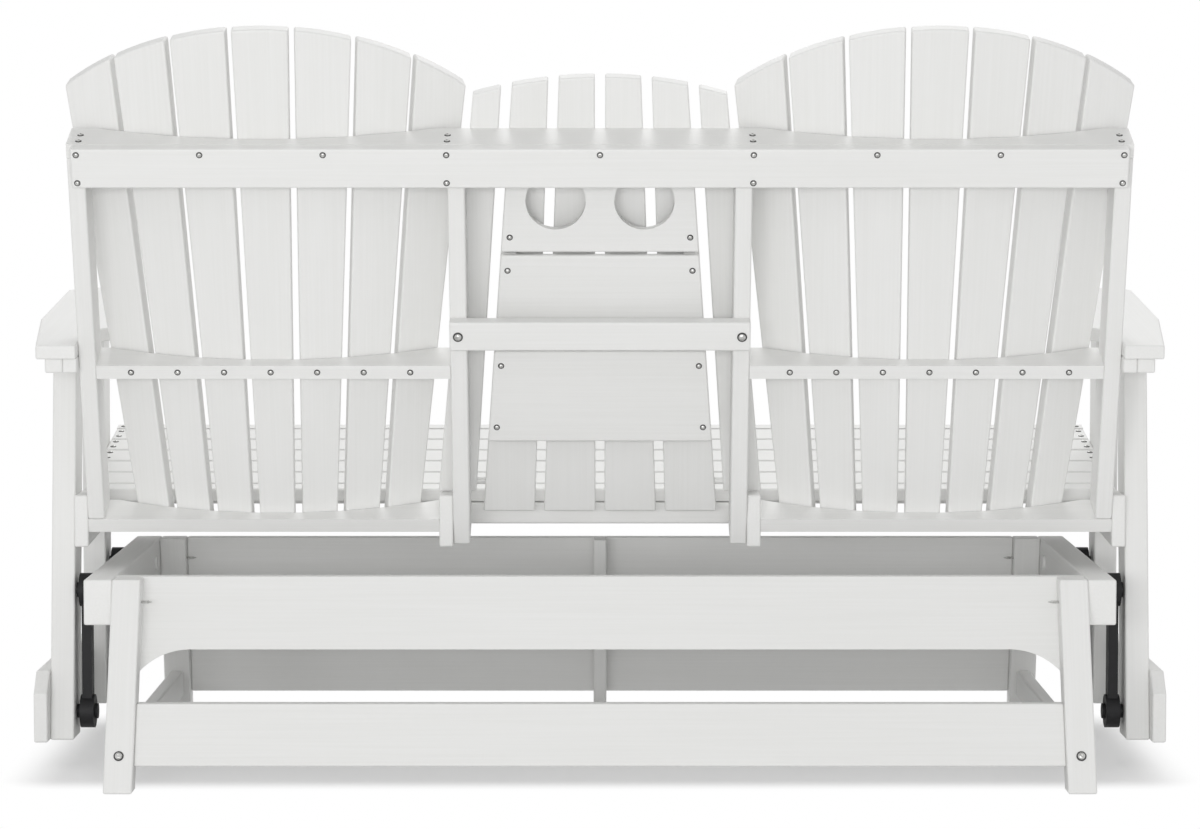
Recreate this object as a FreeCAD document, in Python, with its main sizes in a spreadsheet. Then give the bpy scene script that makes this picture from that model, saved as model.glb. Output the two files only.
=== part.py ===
"""Glider loveseat: a fixed base, four swing arms, a double seat and a folding centre console.

Frame: millimetres, +Z up, the sitter faces -Y, left is +X, the origin is on the floor
under the middle of the base.
"""
import FreeCAD
import Part
import math
import os

V = FreeCAD.Vector
NO_TURN = FreeCAD.Rotation()
# Turns a wedge so that its width runs along Y, its height along Z and its thickness along X.
SIDE = FreeCAD.Rotation(V(0, 1, 0), V(0, 0, 1), V(1, 0, 0), "XYZ")
ALONG_X = FreeCAD.Rotation(V(0, 1, 0), 90)

doc = FreeCAD.newDocument("GliderLoveseat")

# Driving dimensions, in millimetres and degrees
SIZES = [
    ("board", 20, "thickness of the thin boards"),
    ("lumber", 40, "thickness of the base legs and top rails"),
    ("edge_round", 3, "rounding of the board edges"),
    ("seat_gap", 0.3, "clearance between pieces that only rest on each other"),
    ("base_depth", 806, "length of the base over its feet"),
    ("base_height", 283, "height of the base rails"),
    ("leg_depth", 42, "depth of a base leg along the floor"),
    ("leg_half_span", 643, "middle of the base to the inner face of a leg"),
    ("rear_splay", 23.15, "lean of the rear base legs"),
    ("front_splay", 12.75, "lean of the front base legs"),
    ("rail_height", 64, "height of a top side rail"),
    ("beam_height", 98, "height of the rear beam at its middle"),
    ("beam_drop", 40, "drop of the rear beam's ends behind the legs"),
    ("beam_corner", 68, "length of the curve that shows beside a leg"),
    ("beam_curve", 96, "radius of the curve at the rear beam's ends"),
    ("stretcher_height", 83, "height of the rear stretcher"),
    ("stretcher_floor", 34, "floor to the rear stretcher and the front board"),
    ("stretcher_setback", 11, "rear stretcher behind the rear faces of the legs"),
    ("side_rail_height", 40, "height of a lower side rail"),
    ("side_rail_floor", 30, "floor to a lower side rail"),
    ("centre_leg_depth", 45, "depth of the centre leg"),
    ("swing_length", 176, "pivot to pivot on a swing arm"),
    ("swing_end_radius", 24, "radius of a swing arm's ends"),
    ("swing_thickness", 20, "thickness of a swing arm"),
    ("swing_web_width", 27, "width of a swing arm's web"),
    ("swing_web_thickness", 14, "thickness of a swing arm's web"),
    ("swing_gap", 6, "gap on each side of a swing arm"),
    ("pivot_inset", 161, "rear end of the rail to the rear pivot"),
    ("pivot_front_inset", 97, "front end of the rail to the front pivot"),
    ("pivot_radius", 6, "radius of a pivot bolt"),
    ("pivot_collar", 10, "radius of the collar on a pivot bolt"),
    ("pivot_head", 11, "radius of a pivot bolt's head"),
    ("pivot_head_height", 4, "height of a pivot bolt's head"),
    ("pivot_fit", 0.05, "radial running clearance of a pivot"),
    ("end_leg_thickness", 34, "thickness of an end leg"),
    ("end_leg_depth", 70, "depth of an end leg"),
    ("end_leg_lean", 6.9, "lean of the rear end legs"),
    ("end_leg_below", 37, "lower pivot to the bottom of an end leg"),
    ("end_rail_height", 100, "height of an outer lower rail"),
    ("end_rail_overhang", 24, "outer lower rail past the end legs"),
    ("end_rail_chamfer", 30, "cut corner of an outer lower rail"),
    ("arm_rear_height", 610, "height of an armrest's rear end"),
    ("arm_rear_reach", 132, "rear pivot back to an armrest's rear end"),
    ("arm_tilt", 6.2, "rise of the armrests to the front"),
    ("arm_length", 570, "length of an armrest"),
    ("arm_flare_length", 250, "rear end to the widest place of an armrest"),
    ("arm_flare", 28, "widening of an armrest"),
    ("arm_rear_width", 56, "width of an armrest's rear end"),
    ("arm_inner_step", 30, "armrest widening inside, before the back"),
    ("arm_inner_start", 140, "rear end to the inner widening"),
    ("arm_corner", 26, "cut front corners of an armrest"),
    ("arm_rail_height", 21, "height of the rails under an armrest"),
    ("arm_rail_width", 25, "width of the outer rail under an armrest"),
    ("arm_rail_setback", 10, "armrest's rear end to its rails"),
    ("stringer_height", 75, "height of a stringer's rear end"),
    ("stringer_front_height", 92, "height of a stringer's front end"),
    ("seat_tilt", 9, "rise of the seat to the front"),
    ("seat_rear_height", 389, "height of the seat's rear edge"),
    ("seat_rear_reach", 90, "rear pivot forward to the seat's rear edge"),
    ("seat_slat_width", 65, "width of a seat slat"),
    ("seat_slat_space", 6, "space between seat slats"),
    ("seat_half_slat", 31, "width of the rear half slat"),
    ("seat_nose", 36, "width of the front nosing slat"),
    ("apron_depth", 103, "height of the seat's front apron"),
    ("cross_rail_height", 31, "height of the seat's rear cross rail"),
    ("console_bay", 187, "middle to the inner face of a middle post"),
    ("post_thickness", 24, "thickness of a back post"),
    ("post_depth", 66, "depth of a back post"),
    ("post_tail", 40, "middle posts below the lower plates"),
    ("recline", 20.2, "lean of the back"),
    ("back_rear_reach", 14, "rear pivot back to the rear faces of the posts"),
    ("back_foot_height", 354, "height of the outer posts' lower ends"),
    ("mid_plate_rise", 240, "lower plate to the top of a middle plate"),
    ("top_plate_rise", 571.5, "lower plate to the top of the top plate"),
    ("plate_waist", 22, "depth of a plate at the middle of a fan"),
    ("back_apron_height", 57, "height of the back apron"),
    ("back_apron_inset", 8, "back apron short of the outer posts"),
    ("crossbar_rise", 271, "lower plate to the crossbar"),
    ("crossbar_height", 43, "height of the crossbar"),
    ("fan_rise", 728, "lower plate to the top of a fan"),
    ("fan_radius", 640, "radius of the hollow that a fan follows"),
    ("fan_shift", 4, "middle of a fan outward from the middle of its plates"),
    ("fan_arch", 423, "radius of a fan's arched top"),
    ("fan_bevel", 2, "degrees by which the arched ends lean to the rear"),
    ("fan_inset_low", 42.25, "post to the outer edge of a fan at its lower end"),
    ("fan_reach_high", 54.8, "outer edge of a fan past its posts at the top"),
    ("fan_space_low", 11.5, "space between the fan slats at their lower ends"),
    ("fan_space_high", 8.5, "space between the fan slats at the top"),
    ("console_tail", 19, "console slats below the lower plates"),
    ("console_rise", 646, "lower plate to the top of the console"),
    ("console_arch", 620, "radius of the console's arched top"),
    ("console_pitch_low", 88, "spacing of the console slats at their lower ends"),
    ("console_pitch_high", 63.5, "spacing of the console slats at the top"),
    ("console_width_low", 75, "width of a console slat at its lower end"),
    ("console_width_high", 49, "width of a console slat at the top"),
    ("console_clearance", 12, "folded console above the seat"),
    ("console_pin_radius", 5, "radius of a console pivot pin"),
    ("console_pin_depth", 25, "console pivot pin inside its slat"),
    ("panel_start", 107, "lower plate to the lower panel"),
    ("panel_height", 140.7, "height of a console panel"),
    ("panel_space", 5, "space between console panels"),
    ("panel_thickness", 10, "thickness of a console panel"),
    ("batten_depth", 22, "depth of the battens between the console's slats and panels"),
    ("batten_width", 20, "width of those battens"),
    ("cup_radius", 42, "radius of a cup hole"),
    ("cup_half_spacing", 62, "middle of the console to a cup hole"),
    ("cup_rise", 76.5, "lower edge of the cup panel to the cup holes"),
    ("strip_low_inner", 180, "middle to a side strip's inner edge at the lower plates"),
    ("strip_low_outer", 235, "middle to a side strip's outer edge at the lower plates"),
    ("strip_high_inner", 136, "middle to a side strip's inner edge at the top"),
    ("strip_high_outer", 174, "middle to a side strip's outer edge at the top"),
    ("plate_screw_pitch", 65.7, "spacing of the screws along a middle plate"),
    ("screw_inset", 8, "screw to the edge of its board"),
    ("screw_radius", 4.5, "radius of a screw head"),
    ("screw_height", 2.2, "height of a screw head"),
    ("bolt_radius", 6.5, "radius of a bolt head"),
    ("bolt_height", 3.5, "height of a bolt head"),
    ("tip_radius", 2.2, "radius of a screw's tip"),
    ("tip_length", 16, "length of a screw's tip past the leg"),
]

sheet = doc.addObject("Spreadsheet::Sheet", "Sizes")
for row, (alias, value, note) in enumerate(SIZES, start=1):
    sheet.set("A%d" % row, alias)
    sheet.set("B%d" % row, str(value))
    sheet.set("C%d" % row, note)
    sheet.setAlias("B%d" % row, alias)
doc.recompute()


def size(alias):
    """The number in the sheet's cell of that alias."""
    return float(sheet.get(alias))


def tan(alias):
    return math.tan(math.radians(size(alias)))


def cos(alias):
    return math.cos(math.radians(size(alias)))


def bind(thing, **expressions):
    """Tie properties to expressions on the sheet's aliases, written without the sheet's name."""
    for prop, text in expressions.items():
        words = []
        for word in text.split():
            known = any(word == alias for alias, _, _ in SIZES)
            words.append("Sizes." + word if known else word)
        thing.setExpression(prop, " ".join(words))


nodes = []


def node(thing, label):
    """Name a finished sub-part, which names its file."""
    thing.Label = label
    nodes.append(thing)
    return thing


def place(thing, placement):
    thing.Placement = placement
    return thing


def box(name, placement, **expressions):
    solid = doc.addObject("Part::Box", name + "_blank")
    bind(solid, **expressions)
    return place(solid, placement)


def cylinder(name, placement, radius, height):
    solid = doc.addObject("Part::Cylinder", name)
    bind(solid, Radius=radius, Height=height)
    return place(solid, placement)


def wedge(name, placement, low, high, rise, thickness):
    """A board whose low edge runs from low[0] to low[1] and whose high edge from high[0] to high[1]."""
    solid = doc.addObject("Part::Wedge", name + "_blank")
    solid.Ymin = 0
    solid.Zmin = 0
    solid.Z2min = 0
    solid.Xmin = low[0]
    solid.Xmax = low[1]
    solid.X2min = high[0]
    solid.X2max = high[1]
    solid.Ymax = rise
    bind(solid, Zmax=thickness, Z2max=thickness)
    return place(solid, placement)


def cut(name, base, tools):
    for number, tool in enumerate(tools):
        step = doc.addObject("Part::Cut", "%s_cut%d" % (name, number))
        step.Base = base
        step.Tool = tool
        base = step
    return base


def common(name, base, tool):
    step = doc.addObject("Part::Common", name + "_common")
    step.Base = base
    step.Tool = tool
    return step


def fuse(name, solids):
    step = doc.addObject("Part::MultiFuse", name + "_fuse")
    step.Shapes = solids
    step.Refine = True
    return step


def group(name, solids):
    """Separate solids of one kind that share a node."""
    step = doc.addObject("Part::Compound", name + "_group")
    step.Links = solids
    return step


def rounded(name, base):
    """Round all the edges of a board."""
    doc.recompute()
    step = doc.addObject("Part::Fillet", name + "_round")
    step.Base = base
    radius = size("edge_round")
    count = len(base.Shape.Edges)
    step.Edges = [(number, radius, radius) for number in range(1, count + 1)]
    return step


def profile(name, plane, points, thickness, placement):
    """A board padded from a closed outline on one of its body's own planes."""
    body = doc.addObject("PartDesign::Body", name + "_body")
    base = [item for item in body.Origin.OriginFeatures if item.Role == plane][0]
    sketch = body.newObject("Sketcher::SketchObject", name + "_outline")
    sketch.AttachmentSupport = [(base, "")]
    sketch.MapMode = "FlatFace"
    corners = [V(across, along, 0) for across, along in points]
    for number, corner in enumerate(corners):
        following = corners[(number + 1) % len(corners)]
        sketch.addGeometry(Part.LineSegment(corner, following), False)
    pad = body.newObject("PartDesign::Pad", name + "_pad")
    pad.Profile = sketch
    bind(pad, Length=thickness)
    body.Tip = pad
    return place(body, placement)


def at(across, depth, height, turn=NO_TURN):
    return FreeCAD.Placement(V(across, depth, height), turn)


SIDES = [("left", 1), ("right", -1)]


def near(side, inner, thickness):
    """The lower X of a piece that lies from inner to inner + thickness on one side of the middle."""
    return inner if side > 0 else -inner - thickness


# Places that several pieces share
half_depth = size("base_depth") / 2
base_height = size("base_height")
board = size("board")
lumber = size("lumber")
rear_run = base_height * tan("rear_splay")
front_run = base_height * tan("front_splay")
rail_rear = half_depth - rear_run
rail_front = front_run - half_depth
rail_low = base_height - size("rail_height")
rail_inner = size("leg_half_span") + lumber
rail_outer = rail_inner + lumber
swing_inner = rail_outer + size("swing_gap")
swing_outer = swing_inner + size("swing_thickness")
end_inner = swing_outer + size("swing_gap")
end_outer = end_inner + size("end_leg_thickness")
pivot_high = base_height - size("rail_height") / 2
pivot_low = pivot_high - size("swing_length")
pivot_rear = rail_rear - size("pivot_inset")
pivot_front = rail_front + size("pivot_front_inset")
PIVOTS = [("rear", pivot_rear), ("front", pivot_front)]
stringer_inner = end_inner - board
post_inner = stringer_inner - size("post_thickness")
bay = size("console_bay")
mid_post_outer = bay + size("post_thickness")
inner_stringer_outer = mid_post_outer + board

# The back's frame: X across, Y towards the rear, Z up along the lean, at the outer posts' lower ends
back_rear = pivot_rear + size("back_rear_reach")
BACK = at(0, back_rear, size("back_foot_height"), FreeCAD.Rotation(V(1, 0, 0), -size("recline")))
# The seat's frame: Y towards the rear, Z square to the seat, at the rear edge of the seat's top
seat_rear = pivot_rear - size("seat_rear_reach")
SEAT = at(0, seat_rear, size("seat_rear_height"), FreeCAD.Rotation(V(1, 0, 0), -size("seat_tilt")))
# The armrests' frame: at the rear end of their undersides
arm_rear = pivot_rear + size("arm_rear_reach")
ARM = at(0, arm_rear, size("arm_rear_height") - board, FreeCAD.Rotation(V(1, 0, 0), -size("arm_tilt")))


def in_frame(frame, across, depth, height, turn=NO_TURN):
    return frame.multiply(at(across, depth, height, turn))


def heads(label, spots, radius, height):
    """A node of fastener heads, each at a place whose Z points out of the surface."""
    solids = []
    for number, spot in enumerate(spots):
        solids.append(cylinder("%s_%d" % (label, number), spot, radius, height))
    return node(group(label, solids), label)


def base_rails():
    for word, side in SIDES:
        name = "base_rail_" + word
        rail = box(name, at(near(side, rail_inner, lumber), rail_front, rail_low), Length="lumber",
                   Width="base_depth - base_height * ( tan( rear_splay ) + tan( front_splay ) )",
                   Height="rail_height")
        rail = rounded(name, rail)
        tools = []
        for place_word, pivot in PIVOTS:
            spot = at(near(side, rail_inner, lumber), pivot, pivot_high, ALONG_X)
            tools.append(cylinder("%s_%s_bore" % (name, place_word), spot,
                                  "pivot_radius + pivot_fit", "lumber"))
        node(cut(name, rail, tools), name)


def base_legs():
    depth = size("leg_depth")
    for word, side in SIDES:
        across = near(side, size("leg_half_span"), lumber)
        rear = wedge("base_leg_rear_" + word, at(across, half_depth - depth, 0, SIDE), (0, depth),
                     (-rear_run, depth - rear_run), base_height, "lumber")
        node(rounded("base_leg_rear_" + word, rear), "base_leg_rear_" + word)
        front = wedge("base_leg_front_" + word, at(across, -half_depth, 0, SIDE), (0, depth),
                      (front_run, depth + front_run), base_height, "lumber")
        node(rounded("base_leg_front_" + word, front), "base_leg_front_" + word)


def base_beam():
    rise = size("beam_height") + size("beam_drop")
    deep = board / cos("rear_splay")
    low = rail_rear - size("leg_depth") - deep + rise * tan("rear_splay")
    run = rise * tan("rear_splay")
    beam = wedge("base_beam_rear", at(-rail_inner, low, base_height - rise, SIDE), (0, deep),
                 (-run, deep - run), rise, "2 * ( leg_half_span + lumber )")
    opening = size("leg_half_span") - size("beam_corner") + size("beam_curve")
    notch = box("base_beam_notch", at(-opening, low - rise, base_height - 2 * rise + size("beam_drop")),
                Length="2 * ( leg_half_span - beam_corner + beam_curve )",
                Width="2 * ( beam_height + beam_drop )", Height="beam_height + beam_drop")
    doc.recompute()
    curve = doc.addObject("Part::Fillet", "base_beam_notch_round")
    curve.Base = notch
    top = notch.Shape.BoundBox.ZMax
    radius = size("beam_curve")
    picked = []
    for number, edge in enumerate(notch.Shape.Edges, start=1):
        middle = edge.BoundBox.Center
        if abs(middle.z - top) < radius and edge.BoundBox.YLength > rise:
            picked.append((number, radius, radius))
    curve.Edges = picked
    node(cut("base_beam_rear", beam, [curve]), "base_beam_rear")


def base_cross_boards():
    floor = size("stretcher_floor")
    rise = size("stretcher_height")
    deep = board / cos("rear_splay")
    low = half_depth - floor * tan("rear_splay") - size("stretcher_setback") - deep
    run = rise * tan("rear_splay")
    across = -size("leg_half_span")
    stretcher = wedge("base_stretcher_rear", at(across, low, floor, SIDE), (0, deep), (-run, deep - run),
                      rise, "2 * leg_half_span")
    node(rounded("base_stretcher_rear", stretcher), "base_stretcher_rear")
    rise = base_height - floor
    deep = board / cos("front_splay")
    run = rise * tan("front_splay")
    low = -half_depth + floor * tan("front_splay")
    front = wedge("base_board_front", at(across, low, floor, SIDE), (0, deep), (run, deep + run), rise,
                  "2 * leg_half_span")
    node(rounded("base_board_front", front), "base_board_front")
    thick = size("centre_leg_depth")
    centre = wedge("base_centre_leg", at(-board / 2, -half_depth + deep, 0, SIDE), (0, thick),
                   (front_run, thick + front_run), base_height, "board")
    node(rounded("base_centre_leg", centre), "base_centre_leg")


def base_side_rails():
    floor = size("side_rail_floor")
    rise = size("side_rail_height")
    front = -half_depth + size("leg_depth") + floor * tan("front_splay")
    rear = half_depth - size("leg_depth") - floor * tan("rear_splay")
    middle = size("leg_half_span") + (lumber - board) / 2
    for word, side in SIDES:
        name = "base_side_rail_" + word
        rail = wedge(name, at(near(side, middle, board), front, floor, SIDE), (0, rear - front),
                     (rise * tan("front_splay"), rear - front - rise * tan("rear_splay")), rise, "board")
        node(rounded(name, rail), name)


def base_fasteners():
    height = size("side_rail_floor") + size("side_rail_height") / 2
    middle = size("leg_half_span") + lumber / 2
    spots = []
    for _, side in SIDES:
        rear = FreeCAD.Rotation(V(1, 0, 0), -90 + size("rear_splay"))
        spots.append(at(side * middle, half_depth - height * tan("rear_splay"), height, rear))
        front = FreeCAD.Rotation(V(1, 0, 0), 90 - size("front_splay"))
        spots.append(at(side * middle, -half_depth + height * tan("front_splay"), height, front))
    heads("base_leg_bolts", spots, "bolt_radius", "bolt_height")
    tips = []
    for _, side in SIDES:
        inward = FreeCAD.Rotation(V(0, 1, 0), -90 * side)
        inner = side * size("leg_half_span")
        lean = (base_height - pivot_high) * tan("rear_splay")
        tips.append(at(inner, rail_rear + lean - size("leg_depth") / 2, pivot_high, inward))
        lean = (base_height - pivot_high) * tan("front_splay")
        behind = (size("leg_depth") + board / cos("front_splay")) / 2
        tips.append(at(inner, rail_front - lean + behind, pivot_high, inward))
    heads("base_rail_screws", tips, "tip_radius", "tip_length")


def pivot_bolt(name, start, side, depth, height, steps):
    """A turned bolt along X: steps are (radius expression, length expression, length)."""
    solids = []
    reach = start
    turn = ALONG_X if side > 0 else FreeCAD.Rotation(V(0, 1, 0), -90)
    for number, (radius, length, value) in enumerate(steps):
        spot = at(side * reach, depth, height, turn)
        solids.append(cylinder("%s_%d" % (name, number), spot, radius, length))
        reach += value
    return fuse(name, solids)


def pivot_bolts():
    gap = size("swing_gap")
    fit = size("seat_gap")
    head = size("pivot_head_height")
    thick = size("swing_thickness")
    collar = ("pivot_collar", "swing_gap - seat_gap", gap - fit)
    through = ("pivot_radius", "swing_thickness + 2 * seat_gap", thick + 2 * fit)
    cap = ("pivot_head", "pivot_head_height", head)
    upper = []
    lower = []
    for word, side in SIDES:
        for place_word, pivot in PIVOTS:
            name = "%s_%s" % (place_word, word)
            steps = [cap, ("pivot_radius", "lumber", lumber), collar, through, cap]
            upper.append(pivot_bolt("upper_" + name, rail_inner - head, side, pivot, pivot_high, steps))
            steps = [cap, through, collar, ("pivot_radius", "end_leg_thickness", size("end_leg_thickness"))]
            lower.append(pivot_bolt("lower_" + name, swing_inner - fit - head, side, pivot, pivot_low, steps))
    node(group("base_pivot_bolts", upper), "base_pivot_bolts")
    node(group("seat_pivot_bolts", lower), "seat_pivot_bolts")


def swing_arms():
    thick = size("swing_thickness")
    web = size("swing_web_thickness")
    width = size("swing_web_width")
    for word, side in SIDES:
        across = near(side, swing_inner, thick)
        for place_word, pivot in PIVOTS:
            name = "swing_arm_%s_%s" % (place_word, word)
            ends = []
            bores = []
            for end, height in (("low", pivot_low), ("high", pivot_high)):
                spot = at(across, pivot, height, ALONG_X)
                ends.append(cylinder("%s_%s_end" % (name, end), spot, "swing_end_radius",
                                     "swing_thickness"))
                bores.append(cylinder("%s_%s_bore" % (name, end), spot, "pivot_radius + pivot_fit",
                                      "swing_thickness"))
            middle = box(name + "_web", at(across + (thick - web) / 2, pivot - width / 2, pivot_low),
                         Length="swing_web_thickness", Width="swing_web_width", Height="swing_length")
            node(cut(name, fuse(name, ends + [middle]), bores), name)


def arm_underside(depth):
    """Height of the arm rails' undersides above the place depth."""
    low = (board + size("arm_rail_height")) / cos("arm_tilt")
    return size("arm_rear_height") - low + (arm_rear - depth) * tan("arm_tilt")


def leg_top(foot_depth, foot_height, lean):
    """Where a leg's edge from its foot meets the arm rails, as (depth, height)."""
    slope = tan("arm_tilt")
    rise = (arm_underside(foot_depth) - foot_height) / (1 - lean * slope)
    return foot_depth - rise * lean, foot_height + rise


def end_frames():
    foot = pivot_low - size("end_leg_below")
    deep = size("end_leg_depth")
    lean = tan("end_leg_lean")
    rear = pivot_rear + deep / 2 + size("end_leg_below") * lean
    front = pivot_front + deep / 2
    for word, side in SIDES:
        across = near(side, end_inner, size("end_leg_thickness"))
        for place_word, start, slope, pivot in (("rear", rear, lean, pivot_rear),
                                                ("front", front, 0, pivot_front)):
            name = "end_leg_%s_%s" % (place_word, word)
            outline = [(start - deep, foot), (start, foot), leg_top(start, foot, slope),
                       leg_top(start - deep, foot, slope)]
            leg = rounded(name, profile(name, "YZ_Plane", outline, "end_leg_thickness", at(across, 0, 0)))
            spot = at(across, pivot, pivot_low, ALONG_X)
            bore = cylinder(name + "_bore", spot, "pivot_radius + pivot_fit", "end_leg_thickness")
            node(cut(name, leg, [bore]), name)
        name = "end_rail_" + word
        past = size("end_rail_overhang")
        corner = size("end_rail_chamfer")
        top = foot + size("end_rail_height")
        first = front - deep - past
        last = rear + past
        outline = [(first, foot), (last, foot), (last, top - corner), (last - corner, top),
                   (first + corner, top), (first, top - corner)]
        rail = profile(name, "YZ_Plane", outline, "board", at(near(side, end_outer, board), 0, 0))
        node(rounded(name, rail), name)


def armrests():
    length = size("arm_length")
    corner = size("arm_corner")
    inner = stringer_inner
    outer = inner + size("arm_rear_width")
    wide = outer + size("arm_flare")
    narrow = inner - size("arm_inner_step")
    start = size("arm_inner_start")
    step = size("arm_inner_step")
    outline = [(inner, 0), (outer, 0), (wide, -size("arm_flare_length")), (wide, corner - length),
               (wide - corner, -length), (narrow + corner, -length), (narrow, corner - length),
               (narrow, -start - step), (inner, -start)]
    for word, side in SIDES:
        name = "armrest_" + word
        points = [(side * across, depth) for across, depth in outline]
        arm = profile(name, "XY_Plane", points, "board", in_frame(ARM, 0, 0, 0))
        node(rounded(name, arm), name)
        low = -size("arm_rail_height")
        reach = size("arm_rail_setback") - length + corner
        inside = box(name + "_inner_rail", in_frame(ARM, near(side, inner, board), reach, low),
                     Length="board", Width="arm_length - arm_corner - 2 * arm_rail_setback",
                     Height="arm_rail_height")
        width = size("arm_rail_width")
        outside = box(name + "_outer_rail", in_frame(ARM, near(side, end_inner, width), reach, low),
                      Length="arm_rail_width", Width="arm_length - arm_corner - 2 * arm_rail_setback",
                      Height="arm_rail_height")
        pair = [rounded(item.Name, item) for item in (inside, outside)]
        node(group("arm_rails_" + word, pair), "arm_rails_" + word)


def seat_under(depth):
    """Height of the seat slats' undersides above the place depth."""
    return size("seat_rear_height") - board / cos("seat_tilt") + (seat_rear - depth) * tan("seat_tilt")


def stringer_top():
    """Height of a stringer's level rear end."""
    return seat_under(seat_rear) + board


def seat_run():
    """Length of the seat along its slope."""
    pitch = size("seat_slat_width") + size("seat_slat_space")
    return size("seat_half_slat") + size("seat_slat_space") + SEAT_SLATS * pitch + size("seat_nose")


SEAT_SLATS = 5


def seat_frame():
    front = seat_rear - (seat_run() - size("seat_nose") / 2) * cos("seat_tilt")
    rear = back_rear
    top = stringer_top()
    step = seat_rear + board
    outline = [(front, seat_under(front) - size("stringer_front_height")),
               (rear, top - size("stringer_height")), (rear, top), (step, top),
               (step, seat_under(step)), (front, seat_under(front))]
    for place_word, inner in (("outer", stringer_inner), ("inner", mid_post_outer)):
        for word, side in SIDES:
            name = "stringer_%s_%s" % (place_word, word)
            beam = profile(name, "YZ_Plane", outline, "board", at(near(side, inner, board), 0, 0))
            node(rounded(name, beam), name)
    low = seat_under(front) - size("apron_depth")
    apron = box("seat_front_apron", at(-end_inner, front - board, low),
                Length="2 * ( leg_half_span + 2 * lumber + 2 * swing_gap + swing_thickness )",
                Width="board", Height="apron_depth")
    node(rounded("seat_front_apron", apron), "seat_front_apron")
    low = seat_under(seat_rear) - size("cross_rail_height")
    rail = box("seat_cross_rail", at(-mid_post_outer, seat_rear - board, low),
               Length="2 * ( console_bay + post_thickness )", Width="board", Height="cross_rail_height")
    node(rounded("seat_cross_rail", rail), "seat_cross_rail")


def seat_slats():
    full = "2 * ( leg_half_span + 2 * lumber + 2 * swing_gap + swing_thickness )"
    pitch = size("seat_slat_width") + size("seat_slat_space")
    start = -size("seat_half_slat")
    half = box("seat_half_slat", in_frame(SEAT, -end_inner, start, -board), Length=full,
               Width="seat_half_slat", Height="board")
    node(rounded("seat_half_slat", half), "seat_rear_half_slat")
    start -= size("seat_slat_space")
    solids = []
    for number in range(SEAT_SLATS):
        name = "seat_slat_%d" % number
        low = start - number * pitch - size("seat_slat_width")
        slat = box(name, in_frame(SEAT, -end_inner, low, -board), Length=full, Width="seat_slat_width",
                   Height="board")
        solids.append(rounded(name, slat))
    node(group("seat_slats", solids), "seat_slats")
    low = start - SEAT_SLATS * pitch - size("seat_nose")
    nose = box("seat_nosing", in_frame(SEAT, -end_inner, low, -board), Length=full, Width="seat_nose",
               Height="board")
    doc.recompute()
    curve = doc.addObject("Part::Fillet", "seat_nosing_curve")
    curve.Base = nose
    inverse = SEAT.inverse()
    small = size("edge_round")
    large = board - 2 * small
    edges = []
    for number, edge in enumerate(nose.Shape.Edges, start=1):
        middle = inverse.multVec(edge.CenterOfMass)
        if middle.y < low + small and middle.z > -small:
            edges.append((number, large, large))
    curve.Edges = edges
    node(curve, "seat_nosing_slat")


FAN_MIDDLE = (post_inner + mid_post_outer) / 2 + size("fan_shift")
fan_bay = post_inner - mid_post_outer


def fan_hollow(name, side):
    """The round space in front of the plates of one fan, with its axis along the back's lean."""
    deep = size("plate_waist") + size("fan_radius")
    spot = in_frame(BACK, side * FAN_MIDDLE, -deep, -size("post_tail"))
    return cylinder(name, spot, "fan_radius", "fan_rise")


def back_posts():
    deep = -size("post_depth")
    for word, side in SIDES:
        name = "back_post_outer_" + word
        across = near(side, post_inner, size("post_thickness"))
        post = box(name, in_frame(BACK, across, deep, 0), Length="post_thickness", Width="post_depth",
                   Height="top_plate_rise - board")
        node(rounded(name, post), name)
        name = "back_post_middle_" + word
        across = near(side, bay, size("post_thickness"))
        post = box(name, in_frame(BACK, across, deep, -size("post_tail")), Length="post_thickness",
                   Width="post_depth", Height="top_plate_rise - board + post_tail")
        node(rounded(name, post), name)


def back_plates():
    deep = -size("post_depth")
    for word, side in SIDES:
        name = "back_plate_middle_" + word
        across = near(side, mid_post_outer, post_inner - mid_post_outer)
        plate = box(name, in_frame(BACK, across, deep, size("mid_plate_rise") - board),
                    Width="post_depth", Height="board")
        plate.Length = post_inner - mid_post_outer
        node(cut(name, plate, [fan_hollow(name + "_hollow", side)]), name)
        name = "back_plate_lower_" + word
        across = near(side, inner_stringer_outer, stringer_inner - inner_stringer_outer)
        plate = box(name, in_frame(BACK, across, deep, -board), Width="post_depth", Height="board")
        plate.Length = stringer_inner - inner_stringer_outer
        node(cut(name, plate, [fan_hollow(name + "_hollow", side)]), name)
    plate = box("back_plate_top", in_frame(BACK, -stringer_inner, deep, size("top_plate_rise") - board),
                Width="post_depth", Height="board")
    plate.Length = 2 * stringer_inner
    hollows = [fan_hollow("back_plate_top_hollow_" + word, side) for word, side in SIDES]
    node(cut("back_plate_top", plate, hollows), "back_plate_top")


def back_rails():
    reach = stringer_inner - size("back_apron_inset")
    low = size("top_plate_rise") - size("back_apron_height")
    apron = box("back_apron", in_frame(BACK, -reach, 0, low), Width="board", Height="back_apron_height")
    apron.Length = 2 * reach
    node(rounded("back_apron", apron), "back_apron")
    bar = box("back_crossbar", in_frame(BACK, -mid_post_outer, 0, size("crossbar_rise")),
              Length="2 * ( console_bay + post_thickness )", Width="board", Height="crossbar_height")
    node(rounded("back_crossbar", bar), "back_crossbar")


FAN_STEPS = range(-3, 4)


def fan_spot(side, arc, lift, height):
    """A place on a fan's hollow, arc millimetres round from its middle, in the back's frame."""
    radius = size("fan_radius")
    angle = arc / radius
    across = side * FAN_MIDDLE + radius * math.sin(angle)
    deep = size("plate_waist") + radius * (1 - math.cos(angle)) + lift
    return V(across, -deep, height)


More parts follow.
